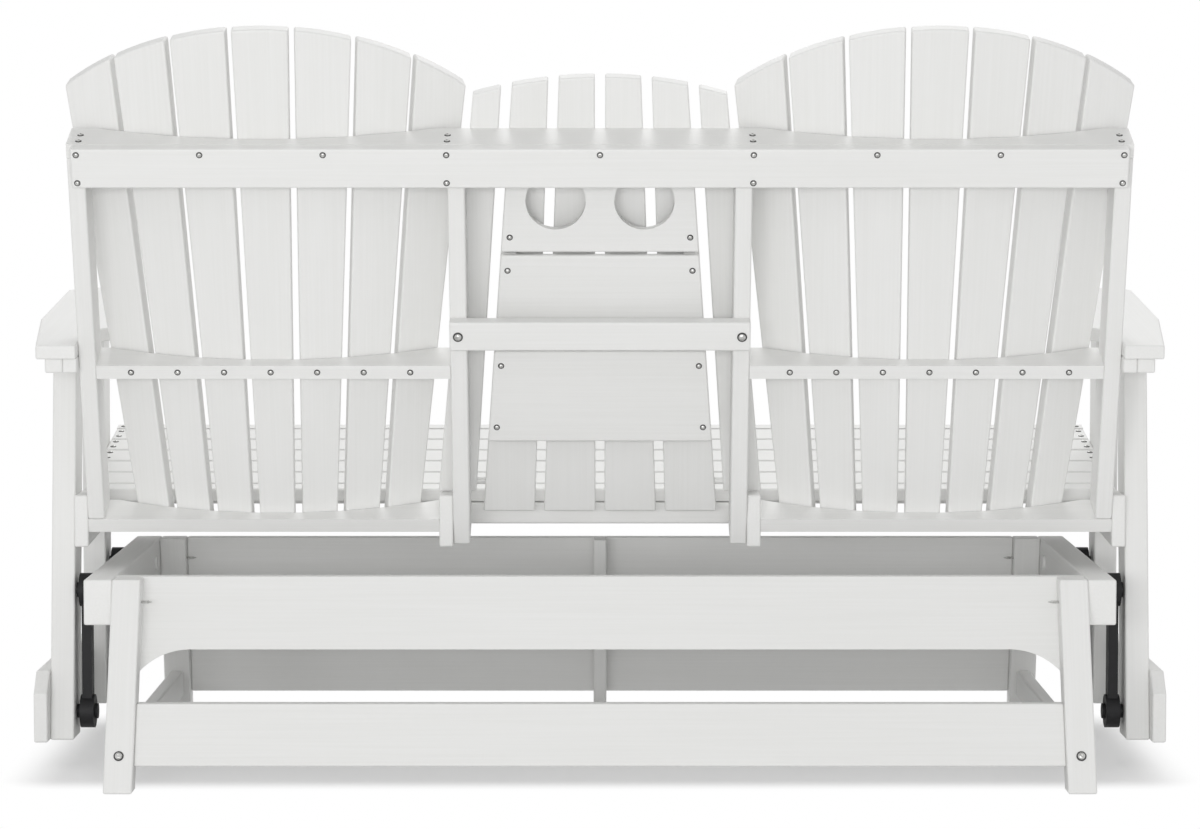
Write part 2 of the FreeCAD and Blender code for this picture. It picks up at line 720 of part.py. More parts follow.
def fan_lift(width, twist):
    """How far a slat's rear face stands off the hollow when its long edges touch it."""
    flat = width - 2 * size("edge_round")
    return flat / 2 * math.sin(twist) + flat * flat / (8 * size("fan_radius")) + size("seat_gap")


def fan_row(span, space):
    """Spacing and width of the slats that share a fan's span, measured round its hollow."""
    pitch = (span + space) / len(FAN_STEPS)
    return pitch, pitch - space


def fan_slat(name, side, step):
    radius = size("fan_radius")
    pitch_low, narrow = fan_row(fan_bay - 2 * size("fan_inset_low"), size("fan_space_low"))
    pitch_high, wide = fan_row(fan_bay + 2 * size("fan_reach_high"), size("fan_space_high"))
    share = (size("top_plate_rise") + board) / (size("fan_rise") + lumber + board)
    low = step * pitch_low
    high = step * pitch_high
    seat = low + share * (high - low)
    twist = abs(seat - low) / (2 * radius)
    low_lift = fan_lift(narrow, twist)
    seat_lift = fan_lift(narrow + share * (wide - narrow), twist)
    foot = fan_spot(side, low, low_lift, -board)
    head = fan_spot(side, high, low_lift + (seat_lift - low_lift) / share, size("fan_rise") + lumber)
    along = (head - foot).normalize()
    yaw = (low + seat) / (2 * radius)
    across = V(math.cos(yaw), -math.sin(yaw), 0)
    turn = FreeCAD.Rotation(across, along, across.cross(along), "YXZ")
    slat = wedge(name, BACK.multiply(FreeCAD.Placement(foot, turn)), (-narrow / 2, narrow / 2),
                 (-wide / 2, wide / 2), (head - foot).Length, "board")
    centre = size("fan_rise") - size("fan_arch")
    bevel = FreeCAD.Rotation(V(1, 0, 0), 90 - size("fan_bevel"))
    arch = cylinder(name + "_arch", in_frame(BACK, side * FAN_MIDDLE, 0, centre, bevel),
                    "fan_arch", "post_depth * 4")
    return rounded(name, common(name, slat, arch))


def back_slats():
    for word, side in SIDES:
        solids = []
        for step in FAN_STEPS:
            solids.append(fan_slat("back_slat_%s_%d" % (word, step + 4), side, step))
        node(group("back_slats_" + word, solids), "back_slats_" + word)


def strip_edges(rise):
    """Middle to a side strip's inner and outer edge at a height above the lower plates."""
    share = rise / size("console_rise")
    inner = size("strip_low_inner")
    outer = size("strip_low_outer")
    return (inner + share * (size("strip_high_inner") - inner),
            outer + share * (size("strip_high_outer") - outer))


def strip_foot():
    """Height above the lower plates at which a side strip stands on the inner stringer."""
    rear_edge = size("back_foot_height") + size("post_depth") * math.sin(math.radians(size("recline")))
    return (stringer_top() + size("seat_gap") - rear_edge) / cos("recline")


def side_strips():
    flat = FreeCAD.Rotation(V(1, 0, 0), 90)
    low = strip_foot()
    rise = size("console_rise") - low
    axis = console_axis_rise()
    solids = []
    for word, side in SIDES:
        name = "back_strip_" + word
        foot = sorted(side * edge for edge in strip_edges(low))
        head = sorted(side * edge for edge in strip_edges(low + rise))
        strip = wedge(name, in_frame(BACK, 0, -size("post_depth"), low, flat), foot, head, rise, "board")
        strip = rounded(name, common(name, strip, console_arch(name)))
        inward = FreeCAD.Rotation(V(0, 1, 0), -90 * side)
        across = max(strip_edges(axis)) + size("console_pin_radius")
        spot = in_frame(BACK, side * across, console_axis_deep, axis, inward)
        bore = cylinder(name + "_bore", spot, "console_pin_radius + pivot_fit", "console_bay")
        solids.append(cut(name, strip, [bore]))
    node(group("back_side_strips", solids), "back_side_strips")


# The console's slats lie against the top plate's straight front edge
console_face = -size("post_depth") - size("seat_gap")
console_axis_deep = console_face - board / 2
panel_face = console_face + size("batten_depth") + size("panel_thickness")


def console_axis_rise():
    """Height of the console's pivot above the lower plates, so that it folds flat above the seat."""
    above = board / 2 + size("console_clearance")
    turn = BACK.Rotation
    foot = BACK.multVec(V(0, console_axis_deep, 0))
    up = turn.multVec(V(0, 0, 1))
    square = SEAT.Rotation.multVec(V(0, 0, 1))
    return (above - (foot - SEAT.Base).dot(square)) / up.dot(square)


def console_edge(rise):
    """Middle of the console to its outer edge at a height above the lower plates."""
    share = (rise + size("console_tail")) / (size("console_rise") + board + size("console_tail"))
    low = 1.5 * size("console_pitch_low") + size("console_width_low") / 2
    high = 1.5 * size("console_pitch_high") + size("console_width_high") / 2
    return low + share * (high - low)


def console_arch(name):
    """The round that the tops of the console and its side strips follow."""
    flat = FreeCAD.Rotation(V(1, 0, 0), 90)
    centre = size("console_rise") - size("console_arch")
    spot = in_frame(BACK, 0, 2 * lumber, centre, flat)
    return cylinder(name + "_arch", spot, "console_arch", "post_depth * 4")


def console_slats():
    flat = FreeCAD.Rotation(V(1, 0, 0), 90)
    low = -size("console_tail")
    rise = size("console_rise") + board - low
    axis = console_axis_rise()
    solids = []
    for number in range(4):
        name = "console_slat_%d" % (number + 1)
        step = number - 1.5
        foot = step * size("console_pitch_low")
        head = step * size("console_pitch_high")
        slat = wedge(name, in_frame(BACK, 0, console_face, low, flat),
                     (foot - size("console_width_low") / 2, foot + size("console_width_low") / 2),
                     (head - size("console_width_high") / 2, head + size("console_width_high") / 2),
                     rise, "board")
        slat = rounded(name, common(name, slat, console_arch(name)))
        if number in (0, 3):
            side = 1 if number == 3 else -1
            inward = FreeCAD.Rotation(V(0, 1, 0), -90 * side)
            spot = in_frame(BACK, side * bay, console_axis_deep, axis, inward)
            bore = doc.addObject("Part::Cylinder", name + "_bore")
            bind(bore, Radius="console_pin_radius + pivot_fit")
            bore.Height = bay - console_edge(axis) + size("console_pin_depth") + size("seat_gap")
            slat = cut(name, slat, [place(bore, spot)])
        solids.append(slat)
    node(group("console_slats", solids), "console_slats")


def console_pins():
    axis = console_axis_rise()
    start = max(strip_edges(axis)) - size("edge_round")
    solids = []
    for word, side in SIDES:
        inward = FreeCAD.Rotation(V(0, 1, 0), -90 * side)
        pin = doc.addObject("Part::Cylinder", "console_pin_" + word)
        bind(pin, Radius="console_pin_radius")
        pin.Height = start - console_edge(axis) + size("console_pin_depth")
        solids.append(place(pin, in_frame(BACK, side * start, console_axis_deep, axis, inward)))
    node(group("console_pivot_pins", solids), "console_pivot_pins")


PANELS = ["console_panel_lower", "console_panel_middle", "console_panel_cups"]


def console_panels():
    flat = FreeCAD.Rotation(V(1, 0, 0), 90)
    pitch = size("panel_height") + size("panel_space")
    for number, name in enumerate(PANELS):
        low = size("panel_start") + number * pitch
        foot = console_edge(low)
        head = console_edge(low + size("panel_height"))
        panel = wedge(name, in_frame(BACK, 0, panel_face, low, flat), (-foot, foot), (-head, head),
                      size("panel_height"), "panel_thickness")
        panel = rounded(name, panel)
        if name == "console_panel_cups":
            tools = []
            for word, side in SIDES:
                spot = in_frame(BACK, side * size("cup_half_spacing"), panel_face + board,
                                low + size("cup_rise"), flat)
                tools.append(cylinder("cup_hole_" + word, spot, "cup_radius", "3 * board"))
            panel = cut(name, panel, tools)
        solids = [panel]
        wide = size("batten_width")
        for word, side in SIDES:
            batten = "%s_batten_%s" % (name, word)
            spot = in_frame(BACK, 0, console_face + size("batten_depth"), low, flat)
            ends = [near(side, edge - size("edge_round") - wide, wide) for edge in (foot, head)]
            strip = wedge(batten, spot, (ends[0], ends[0] + wide), (ends[1], ends[1] + wide),
                          size("panel_height"), "batten_depth")
            solids.append(rounded(batten, strip))
        node(group(name, solids), name)


# Shares of the top plate's depth at which its screws go down into the posts
PLATE_SCREWS = (0.2, 0.57)


def back_screws():
    rear = FreeCAD.Rotation(V(1, 0, 0), -90)
    top = size("top_plate_rise")
    inset = size("screw_inset")
    rows = (top - inset, top - size("back_apron_height") + inset)
    ends = (stringer_inner - size("back_apron_inset") - inset, mid_post_outer)
    middle = size("crossbar_rise") + size("crossbar_height") / 2
    spots = [in_frame(BACK, 0, board, rows[0], rear)]
    for _, side in SIDES:
        for across in ends:
            for height in rows:
                spots.append(in_frame(BACK, side * across, board, height, rear))
            for share in PLATE_SCREWS:
                spots.append(in_frame(BACK, side * across, -share * size("post_depth"), top))
        for share in (1, 2):
            across = ends[0] + share * (ends[1] - ends[0]) / 3
            spots.append(in_frame(BACK, side * across, board, rows[0], rear))
        for step in FAN_STEPS:
            across = side * (FAN_MIDDLE + step * size("plate_screw_pitch"))
            spots.append(in_frame(BACK, across, 0, size("mid_plate_rise") - board / 2, rear))
        across = bay + size("post_thickness") / 2
        spots.append(in_frame(BACK, side * across, board, middle, rear))
    heads("back_screws", spots, "screw_radius", "screw_height")


def console_screws():
    rear = FreeCAD.Rotation(V(1, 0, 0), -90)
    pitch = size("panel_height") + size("panel_space")
    inset = 5 * size("screw_radius")
    spots = []
    for number in range(len(PANELS)):
        low = size("panel_start") + number * pitch
        for height in (low + inset, low + size("panel_height") - inset):
            across = console_edge(height) - inset / 2
            for _, side in SIDES:
                spots.append(in_frame(BACK, side * across, panel_face, height, rear))
    heads("console_screws", spots, "screw_radius", "screw_height")


base_rails()
base_legs()
base_beam()
base_cross_boards()
base_side_rails()
base_fasteners()
pivot_bolts()
swing_arms()
end_frames()
armrests()
seat_frame()
seat_slats()
back_posts()
back_plates()
back_rails()
back_slats()
side_strips()
console_slats()
console_pins()
console_panels()
back_screws()
console_screws()
doc.recompute()

# Nothing is written unless every object is sound
for thing in doc.Objects:
    faults = [word for word in thing.State if word in ("Invalid", "Error")]
    if faults:
        raise RuntimeError("%s is %s" % (thing.Label, faults))
for thing in nodes:
    if thing.Shape.isNull() or not thing.Shape.isValid():
        raise RuntimeError("%s has no valid shape" % thing.Label)
    if not thing.Shape.Solids:
        raise RuntimeError("%s has no solid" % thing.Label)

os.makedirs("parts", exist_ok=True)
for thing in nodes:
    thing.Shape.exportStep("parts/%s.step" % thing.Label)

whole = FreeCAD.BoundBox()
for thing in nodes:
    whole.add(thing.Shape.BoundBox)
print("nodes", len(nodes), "box", [round(value, 1) for value in
                                   (whole.XMin, whole.XMax, whole.YMin, whole.YMax, whole.ZMin, whole.ZMax)])
axis = BACK.multVec(V(0, console_axis_deep, console_axis_rise()))
print("pivots", [round(value, 3) for value in (pivot_rear, pivot_front, pivot_high, pivot_low)])
print("console axis", round(axis.y, 3), round(axis.z, 3))
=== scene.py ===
"""Finish for a glider loveseat: white plastic lumber, black swing arms and steel fasteners."""
import bmesh
import bpy
import math
from bpy.props import (FloatProperty, FloatVectorProperty, IntProperty, PointerProperty)
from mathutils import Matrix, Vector


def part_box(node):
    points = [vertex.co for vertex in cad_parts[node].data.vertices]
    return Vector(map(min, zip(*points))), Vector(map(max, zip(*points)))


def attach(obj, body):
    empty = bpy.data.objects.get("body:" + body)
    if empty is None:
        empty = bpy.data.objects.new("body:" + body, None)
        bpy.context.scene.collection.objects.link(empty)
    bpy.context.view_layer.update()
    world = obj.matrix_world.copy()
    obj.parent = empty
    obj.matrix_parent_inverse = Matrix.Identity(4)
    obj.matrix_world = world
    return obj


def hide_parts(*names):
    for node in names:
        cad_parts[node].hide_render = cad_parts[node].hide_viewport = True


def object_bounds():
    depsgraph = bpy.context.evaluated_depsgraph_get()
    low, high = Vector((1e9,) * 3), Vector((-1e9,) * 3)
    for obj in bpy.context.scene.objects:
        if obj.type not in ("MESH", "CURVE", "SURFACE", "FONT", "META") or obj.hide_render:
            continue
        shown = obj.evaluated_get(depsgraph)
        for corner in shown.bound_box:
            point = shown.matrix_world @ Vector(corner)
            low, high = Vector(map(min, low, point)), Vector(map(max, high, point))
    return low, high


bl_info = {
    "name": "Glider Loveseat Finish",
    "version": (1, 0, 0),
    "blender": (4, 5, 0),
    "location": "3D View > Sidebar > Glider",
    "description": "Dresses a glider loveseat with lumber and steel finishes, and sets its stage",
    "category": "Object",
}

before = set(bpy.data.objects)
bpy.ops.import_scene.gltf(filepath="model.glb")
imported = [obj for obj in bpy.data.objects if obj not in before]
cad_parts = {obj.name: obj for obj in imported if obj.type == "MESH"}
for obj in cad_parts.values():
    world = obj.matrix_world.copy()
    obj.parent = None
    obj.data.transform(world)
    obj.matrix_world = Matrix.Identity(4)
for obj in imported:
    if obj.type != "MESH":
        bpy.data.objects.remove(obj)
CAD_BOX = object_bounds()


def middle(node):
    """The centre of a node's box at rest."""
    low, high = (Vector(corner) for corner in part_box(node))
    return (low + high) / 2


class LumberSettings(bpy.types.PropertyGroup):
    """The boards' colour and moulded grain."""

    board_color: FloatVectorProperty(
        name="Board", description="Colour of the white plastic lumber", subtype="COLOR",
        size=3, min=0.0, max=1.0, default=(0.83, 0.83, 0.82))
    shade_color: FloatVectorProperty(
        name="Grain", description="Colour in the hollows of the moulded grain", subtype="COLOR",
        size=3, min=0.0, max=1.0, default=(0.79, 0.79, 0.775))
    grain_length: FloatProperty(
        name="Grain length", description="Length of a streak in the moulded grain", unit="LENGTH",
        min=0.005, default=0.22)
    grain_width: FloatProperty(
        name="Grain width", description="Width of a streak in the moulded grain", unit="LENGTH",
        min=0.0002, default=0.0032)
    cloud_length: FloatProperty(
        name="Cloud length", description="Length of a soft cloud in the boards' colour", unit="LENGTH",
        min=0.01, default=0.62)
    cloud_width: FloatProperty(
        name="Cloud width", description="Width of a soft cloud in the boards' colour", unit="LENGTH",
        min=0.005, default=0.11)
    grain_depth: FloatProperty(
        name="Grain depth", description="Depth of the moulded grain", unit="LENGTH", min=0.0,
        default=0.00022)
    roughness: FloatProperty(
        name="Roughness", description="Middle roughness of the lumber", subtype="FACTOR", min=0.0,
        max=1.0, default=0.52)


class FastenerSettings(bpy.types.PropertyGroup):
    """Sizes and colours of the screws, bolts and swing arms."""

    steel_color: FloatVectorProperty(
        name="Steel", description="Colour of the stainless screws and bolts", subtype="COLOR",
        size=3, min=0.0, max=1.0, default=(0.52, 0.52, 0.51))
    arm_color: FloatVectorProperty(
        name="Swing arms", description="Colour of the black coating on the swing arms", subtype="COLOR",
        size=3, min=0.0, max=1.0, default=(0.01, 0.01, 0.011))
    screw_radius: FloatProperty(
        name="Screw radius", description="Radius of a board screw's head", unit="LENGTH",
        min=0.001, default=0.003)
    screw_height: FloatProperty(
        name="Screw height", description="Height of a board screw's head", unit="LENGTH",
        min=0.0005, default=0.0024)
    # Radius of the dark ring of painted shade, standing in for a counterbore's shadow, under a screw head
    screw_shade_ring: FloatProperty(
        name="Screw shade ring", description="Radius of the dark ring of painted shade under a screw", unit="LENGTH",
        min=0.001, default=0.0044)
    bolt_radius: FloatProperty(
        name="Bolt radius", description="Radius of a leg bolt's head", unit="LENGTH", min=0.001,
        default=0.005)
    bolt_height: FloatProperty(
        name="Bolt height", description="Height of a leg bolt's head", unit="LENGTH", min=0.0005,
        default=0.0038)
    # Radius of the dark ring of painted shade, standing in for a counterbore's shadow, under a bolt head
    bolt_shade_ring: FloatProperty(
        name="Bolt shade ring", description="Radius of the dark ring of painted shade under a bolt", unit="LENGTH",
        min=0.001, default=0.007)
    tip_radius: FloatProperty(
        name="Tip radius", description="Radius of a screw's threaded tip", unit="LENGTH", min=0.0005,
        default=0.0022)
    tip_length: FloatProperty(
        name="Tip length", description="Length of a screw's tip past the leg", unit="LENGTH",
        min=0.002, default=0.016)
    thread_pitch: FloatProperty(
        name="Thread pitch", description="Spacing of the thread on a screw's tip", unit="LENGTH",
        min=0.0005, default=0.0022)
    spin_seed: IntProperty(
        name="Spin seed", description="Seed for how far each screw was driven round", min=0, default=7)


class StageSettings(bpy.types.PropertyGroup):
    """The camera and the light."""

    camera_distance: FloatProperty(
        name="Distance", description="Camera to the rear feet", unit="LENGTH", min=1.0, default=5.2)
    camera_height: FloatProperty(
        name="Height", description="Camera above the floor", unit="LENGTH", min=0.0, default=0.876)
    camera_pitch: FloatProperty(
        name="Pitch", description="How far the camera looks down", subtype="ANGLE",
        default=math.radians(3.884))
    lens: FloatProperty(
        name="Lens", description="Focal length on a sensor 36 mm wide", unit="CAMERA", min=10.0,
        default=114.66)
    key_power: FloatProperty(
        name="Key", description="Power of the soft lamp behind the camera", unit="POWER", min=0.0,
        default=123.0)
    top_power: FloatProperty(
        name="Top", description="Power of the soft lamp above the front", unit="POWER", min=0.0,
        default=62.0)
    room_light: FloatProperty(
        name="Room", description="Strength of the even light from all round", min=0.0, default=0.6)
    floor_white: FloatProperty(
        name="Floor white", description="Share of plain white on the floor under the glider",
        subtype="FACTOR", min=0.0, max=1.0, default=0.36)
    shadow_inset: FloatVectorProperty(
        name="Shadow inset", description="Glider's side and rear to where the floor starts to turn white",
        unit="LENGTH", size=2, min=0.0, default=(0.07, 0.13))
    shadow_reach: FloatProperty(
        name="Shadow reach", description="Width over which the floor turns white", unit="LENGTH",
        min=0.01, default=0.1)


def lumber_settings():
    return bpy.context.scene.glider_lumber


def fastener_settings():
    return bpy.context.scene.glider_fasteners


def stage_settings():
    return bpy.context.scene.glider_stage


class NodeTree:
    """Adds and joins nodes in a shader or geometry tree."""

    def __init__(self, tree):
        self.tree = tree

    def add(self, kind, **settings):
        made = self.tree.nodes.new(kind)
        for name, value in settings.items():
            setattr(made, name, value)
        return made

    def join(self, source, target):
        self.tree.links.new(source, target)

    def math(self, operation, first, second=0.0):
        made = self.add("ShaderNodeMath", operation=operation)
        for socket, value in zip(made.inputs, (first, second)):
            if isinstance(value, (int, float)):
                socket.default_value = value
            else:
                self.join(value, socket)
        return made.outputs[0]


def new_material(name):
    """A material with a bare principled shader, as (material, tree, shader)."""
    material = bpy.data.materials.new(name)
    material.use_nodes = True
    tree = NodeTree(material.node_tree)
    shader = material.node_tree.nodes["Principled BSDF"]
    return material, tree, shader


def object_place(tree):
    return tree.add("ShaderNodeTexCoord").outputs["Object"]


def streaks(tree, place, streak, detail, seed):
    """Noise whose cells measure a streak's size along each axis of a place."""
    mapping = tree.add("ShaderNodeMapping", vector_type="TEXTURE")
    mapping.inputs["Location"].default_value = (seed, seed * 2.0, seed * 3.0)
    mapping.inputs["Scale"].default_value = streak
    tree.join(place, mapping.inputs["Vector"])
    noise = tree.add("ShaderNodeTexNoise")
    noise.inputs["Scale"].default_value = 1.0
    noise.inputs["Detail"].default_value = detail
    tree.join(mapping.outputs["Vector"], noise.inputs["Vector"])
    return noise.outputs["Fac"]


def leaning_place(tree, lean):
    """Object coordinates turned to follow boards that lean to the rear by an angle."""
    turned = tree.add("ShaderNodeMapping", vector_type="TEXTURE")
    turned.inputs["Rotation"].default_value = (-lean, 0.0, 0.0)
    tree.join(object_place(tree), turned.inputs["Vector"])
    return turned.outputs["Vector"]


def fan_place(tree, lean, fan):
    """Coordinates that lean with the back and spread with the slats of its two fans."""
    parts = tree.add("ShaderNodeSeparateXYZ")
    tree.join(leaning_place(tree, lean), parts.inputs[0])
    across = tree.math("SUBTRACT", tree.math("ABSOLUTE", parts.outputs[0]), fan["middle"])
    rise = tree.math("DIVIDE", tree.math("SUBTRACT", parts.outputs[2], fan["foot"]), fan["reach"])
    spread = tree.add("ShaderNodeCombineXYZ")
    tree.join(tree.math("DIVIDE", across, tree.math("ADD", rise, 1.0)), spread.inputs[0])
    tree.join(parts.outputs[1], spread.inputs[1])
    tree.join(parts.outputs[2], spread.inputs[2])
    return spread.outputs[0]


# The range in which most values of a noise lie
NOISE_LOW = 0.3
NOISE_HIGH = 0.7


def ramp(tree, value, low, high):
    """Map a noise value's middle range to low..high."""
    made = tree.add("ShaderNodeMapRange")
    made.inputs["From Min"].default_value = NOISE_LOW
    made.inputs["From Max"].default_value = NOISE_HIGH
    made.inputs["To Min"].default_value = low
    made.inputs["To Max"].default_value = high
    tree.join(value, made.inputs["Value"])
    return made.outputs["Result"]


def tinted(color, shares):
    """A colour with each channel times its share."""
    return tuple(channel * share for channel, share in zip(color, shares))


def blend(tree, factor, first, second):
    """A colour between two, each a plain colour or the output of a node."""
    made = tree.add("ShaderNodeMix", data_type="RGBA")
    tree.join(factor, made.inputs["Factor"])
    for label, color in (("A", first), ("B", second)):
        if isinstance(color, tuple):
            made.inputs[label].default_value = (*color, 1.0)
        else:
            tree.join(color, made.inputs[label])
    return made.outputs["Result"]


def relief(tree, shader, height, strength, depth):
    """Raise a surface by a height pattern."""
    bump = tree.add("ShaderNodeBump")
    bump.inputs["Strength"].default_value = strength
    bump.inputs["Distance"].default_value = depth
    tree.join(height, bump.inputs["Height"])
    tree.join(bump.outputs["Normal"], shader.inputs["Normal"])


# How much of the lumber's colour and of its relief comes from the fine grain
GRAIN_IN_COLOR = 0.55
GRAIN_IN_RELIEF = 0.8
SPECKLE_SIZE = 0.0011
LUMBER_ROUGHNESS_SPREAD = 0.07


def white_lumber(name, run, lean=0.0, fan=None):
    """White plastic lumber whose moulded grain runs along one axis of boards that lean."""
    look = lumber_settings()
    material, tree, shader = new_material(name)
    place = fan_place(tree, lean, fan) if fan else leaning_place(tree, lean)
    fine = [look.grain_width] * 3
    fine[run] = look.grain_length
    broad = [look.cloud_width] * 3
    broad[run] = look.cloud_length
    grain = streaks(tree, place, fine, detail=3.0, seed=1.7)
    cloud = streaks(tree, place, broad, detail=2.0, seed=4.1)
    speckle = streaks(tree, place, [SPECKLE_SIZE] * 3, detail=1.0, seed=2.3)
    mixed = tree.math("ADD", tree.math("MULTIPLY", ramp(tree, grain, 0.0, 1.0), GRAIN_IN_COLOR),
                      tree.math("MULTIPLY", ramp(tree, cloud, 0.0, 1.0), 1.0 - GRAIN_IN_COLOR))
    color = blend(tree, mixed, tuple(look.shade_color), tuple(look.board_color))
    tree.join(color, shader.inputs["Base Color"])
    tree.join(ramp(tree, cloud, look.roughness - LUMBER_ROUGHNESS_SPREAD,
                   look.roughness + LUMBER_ROUGHNESS_SPREAD), shader.inputs["Roughness"])
    height = tree.math("ADD", tree.math("MULTIPLY", grain, GRAIN_IN_RELIEF),
                       tree.math("MULTIPLY", speckle, 1.0 - GRAIN_IN_RELIEF))
    relief(tree, shader, height, strength=0.35, depth=look.grain_depth)
    shader.inputs["Specular IOR Level"].default_value = 0.4
    return material


COATING_CLOUD_SIZE = 0.017
COATING_PEEL_SIZE = 0.0019
COATING_DARK = [0.6] * 3
COATING_LIGHT = [1.6] * 3
COATING_ROUGHNESS = (0.5, 0.64)


def black_coating(name, cap=0.0):
    """Black coated steel with a fine orange-peel surface, under white caps nearer to the middle than cap."""
    material, tree, shader = new_material(name)
    black = fastener_settings().arm_color
    place = object_place(tree)
    cloud = streaks(tree, place, [COATING_CLOUD_SIZE] * 3, detail=4.0, seed=0.9)
    peel = streaks(tree, place, [COATING_PEEL_SIZE] * 3, detail=2.0, seed=3.3)
    color = blend(tree, ramp(tree, cloud, 0.0, 1.0), tinted(black, COATING_DARK),
                  tinted(black, COATING_LIGHT))
    parts = tree.add("ShaderNodeSeparateXYZ")
    tree.join(place, parts.inputs[0])
    inside = tree.math("LESS_THAN", tree.math("ABSOLUTE", parts.outputs[0]), cap)
    capped = blend(tree, inside, color, tuple(lumber_settings().board_color))
    tree.join(capped, shader.inputs["Base Color"])
    tree.join(ramp(tree, cloud, *COATING_ROUGHNESS), shader.inputs["Roughness"])
    shader.inputs["Specular IOR Level"].default_value = 0.3
    relief(tree, shader, peel, strength=0.25, depth=0.0003)
    return material


STEEL_STAIN_SIZE = 0.0042
STEEL_MARK_SIZE = (0.0004, 0.0033, 0.0004)
STEEL_DARK = (0.75, 0.75, 0.74)
STEEL_LIGHT = [1.15] * 3
STEEL_ROUGHNESS = (0.24, 0.38)


def stainless():
    """Stainless steel of the screws and bolts, with fine turning marks and small stains."""
    material, tree, shader = new_material("screw_steel")
    steel = fastener_settings().steel_color
    place = object_place(tree)
    stain = streaks(tree, place, [STEEL_STAIN_SIZE] * 3, detail=3.0, seed=5.5)
    marks = streaks(tree, place, STEEL_MARK_SIZE, detail=2.0, seed=6.1)
    color = blend(tree, ramp(tree, stain, 0.0, 1.0), tinted(steel, STEEL_DARK),
                  tinted(steel, STEEL_LIGHT))
    tree.join(color, shader.inputs["Base Color"])
    tree.join(ramp(tree, stain, *STEEL_ROUGHNESS), shader.inputs["Roughness"])
    shader.inputs["Metallic"].default_value = 1.0
    relief(tree, shader, marks, strength=0.2, depth=0.0001)
    return material


# Painted shade: the dark ring round each head stands in for the shadow in a counterbore
SHADE_RING_MOTTLE_SIZE = 0.0012
SHADE_RING_DARK = (0.035, 0.035, 0.035)
SHADE_RING_LIGHT = (0.075, 0.075, 0.073)
SHADE_RING_ROUGHNESS = (0.6, 0.8)


def painted_shade_ring():
    """Painted shade: a dark ring under a head that stands in for the shadow in a counterbore, slightly
    mottled.
    """
    material, tree, shader = new_material("painted_shade_ring")
    mottle = streaks(tree, object_place(tree), [SHADE_RING_MOTTLE_SIZE] * 3, detail=2.0, seed=7.9)
    color = blend(tree, ramp(tree, mottle, 0.0, 1.0), SHADE_RING_DARK, SHADE_RING_LIGHT)
    tree.join(color, shader.inputs["Base Color"])
    tree.join(ramp(tree, mottle, *SHADE_RING_ROUGHNESS), shader.inputs["Roughness"])
    return material


def dress(names, material):
    """Give CAD nodes a material in place of their plain one."""
    for name in names:
        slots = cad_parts[name].data.materials
        slots.clear()
        slots.append(material)


ACROSS = ["base_beam_rear", "base_stretcher_rear", "base_board_front", "seat_front_apron", "seat_slats",
          "seat_nosing_slat", "seat_rear_half_slat", "seat_cross_rail", "back_plate_top", "back_apron",
          "back_crossbar", "back_plate_middle_left", "back_plate_middle_right", "back_plate_lower_left",
          "back_plate_lower_right", "console_panel_lower", "console_panel_middle", "console_panel_cups",
          "console_pivot_pins"]
FORE_AND_AFT = ["base_rail_left", "base_rail_right", "base_side_rail_left", "base_side_rail_right",
                "end_rail_left", "end_rail_right", "armrest_left", "armrest_right", "arm_rails_left",
                "arm_rails_right", "stringer_outer_left", "stringer_outer_right", "stringer_inner_left",
                "stringer_inner_right"]
UPRIGHT = ["base_leg_rear_left", "base_leg_rear_right", "base_leg_front_left", "base_leg_front_right",
           "base_centre_leg", "end_leg_rear_left", "end_leg_rear_right", "end_leg_front_left",
           "end_leg_front_right", "back_post_outer_left", "back_post_outer_right",
           "back_post_middle_left", "back_post_middle_right", "back_side_strips", "console_slats"]
FANS = ["back_slats_left", "back_slats_right"]
SWING_ARMS = ["swing_arm_rear_left", "swing_arm_rear_right", "swing_arm_front_left",
              "swing_arm_front_right"]

# Ways that faces of the back look, roughly square to its lean
REARWARD = (0.0, 1.0, -0.3)
UPWARD = (0.0, 0.3, 1.0)
FORWARD = (0.0, -1.0, 0.3)
# Cosines of the widest angle at which a face still looks a way, and lies in one plane with another
LOOKS_THAT_WAY = 0.75
SAME_PLANE = 0.9999
# Largest sideways part of the normal of a board's broad or narrow side
SIDEWAYS = 0.5
MERGE_DISTANCE = 1e-6
# Height of the band in which a slat's lowest corners lie
FOOT_BAND = 0.004


def islands(node):
    """The solids of a CAD node, each as a list of (centre, normal, area, corners) of its faces."""
    work = bmesh.new()
    work.from_mesh(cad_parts[node].data)
    bmesh.ops.remove_doubles(work, verts=work.verts, dist=MERGE_DISTANCE)
    work.faces.index_update()
    waiting = {face.index: face for face in work.faces}
    found = []
    while waiting:
        stack = [waiting.pop(next(iter(waiting)))]
        faces = []
        while stack:
            face = stack.pop()
            faces.append((face.calc_center_median(), face.normal.copy(), face.calc_area(),
                          [vert.co.copy() for vert in face.verts]))
            for edge in face.edges:
                for other in edge.link_faces:
                    if other.index in waiting:
                        stack.append(waiting.pop(other.index))
        found.append(faces)
    work.free()
    return found


def flat_face(faces, towards):
    """The centre, normal and corners of the largest flat face that looks a way."""
    towards = Vector(towards).normalized()
    facing = [face for face in faces if face[1].dot(towards) > LOOKS_THAT_WAY]
    largest = max(facing, key=lambda face: face[2])
    same = [face for face in facing if face[1].dot(largest[1]) > SAME_PLANE]
    area = sum(face[2] for face in same)
    centre = sum((face[0] * face[2] for face in same), Vector()) / area
    return centre, largest[1], [corner for face in same for corner in face[3]]


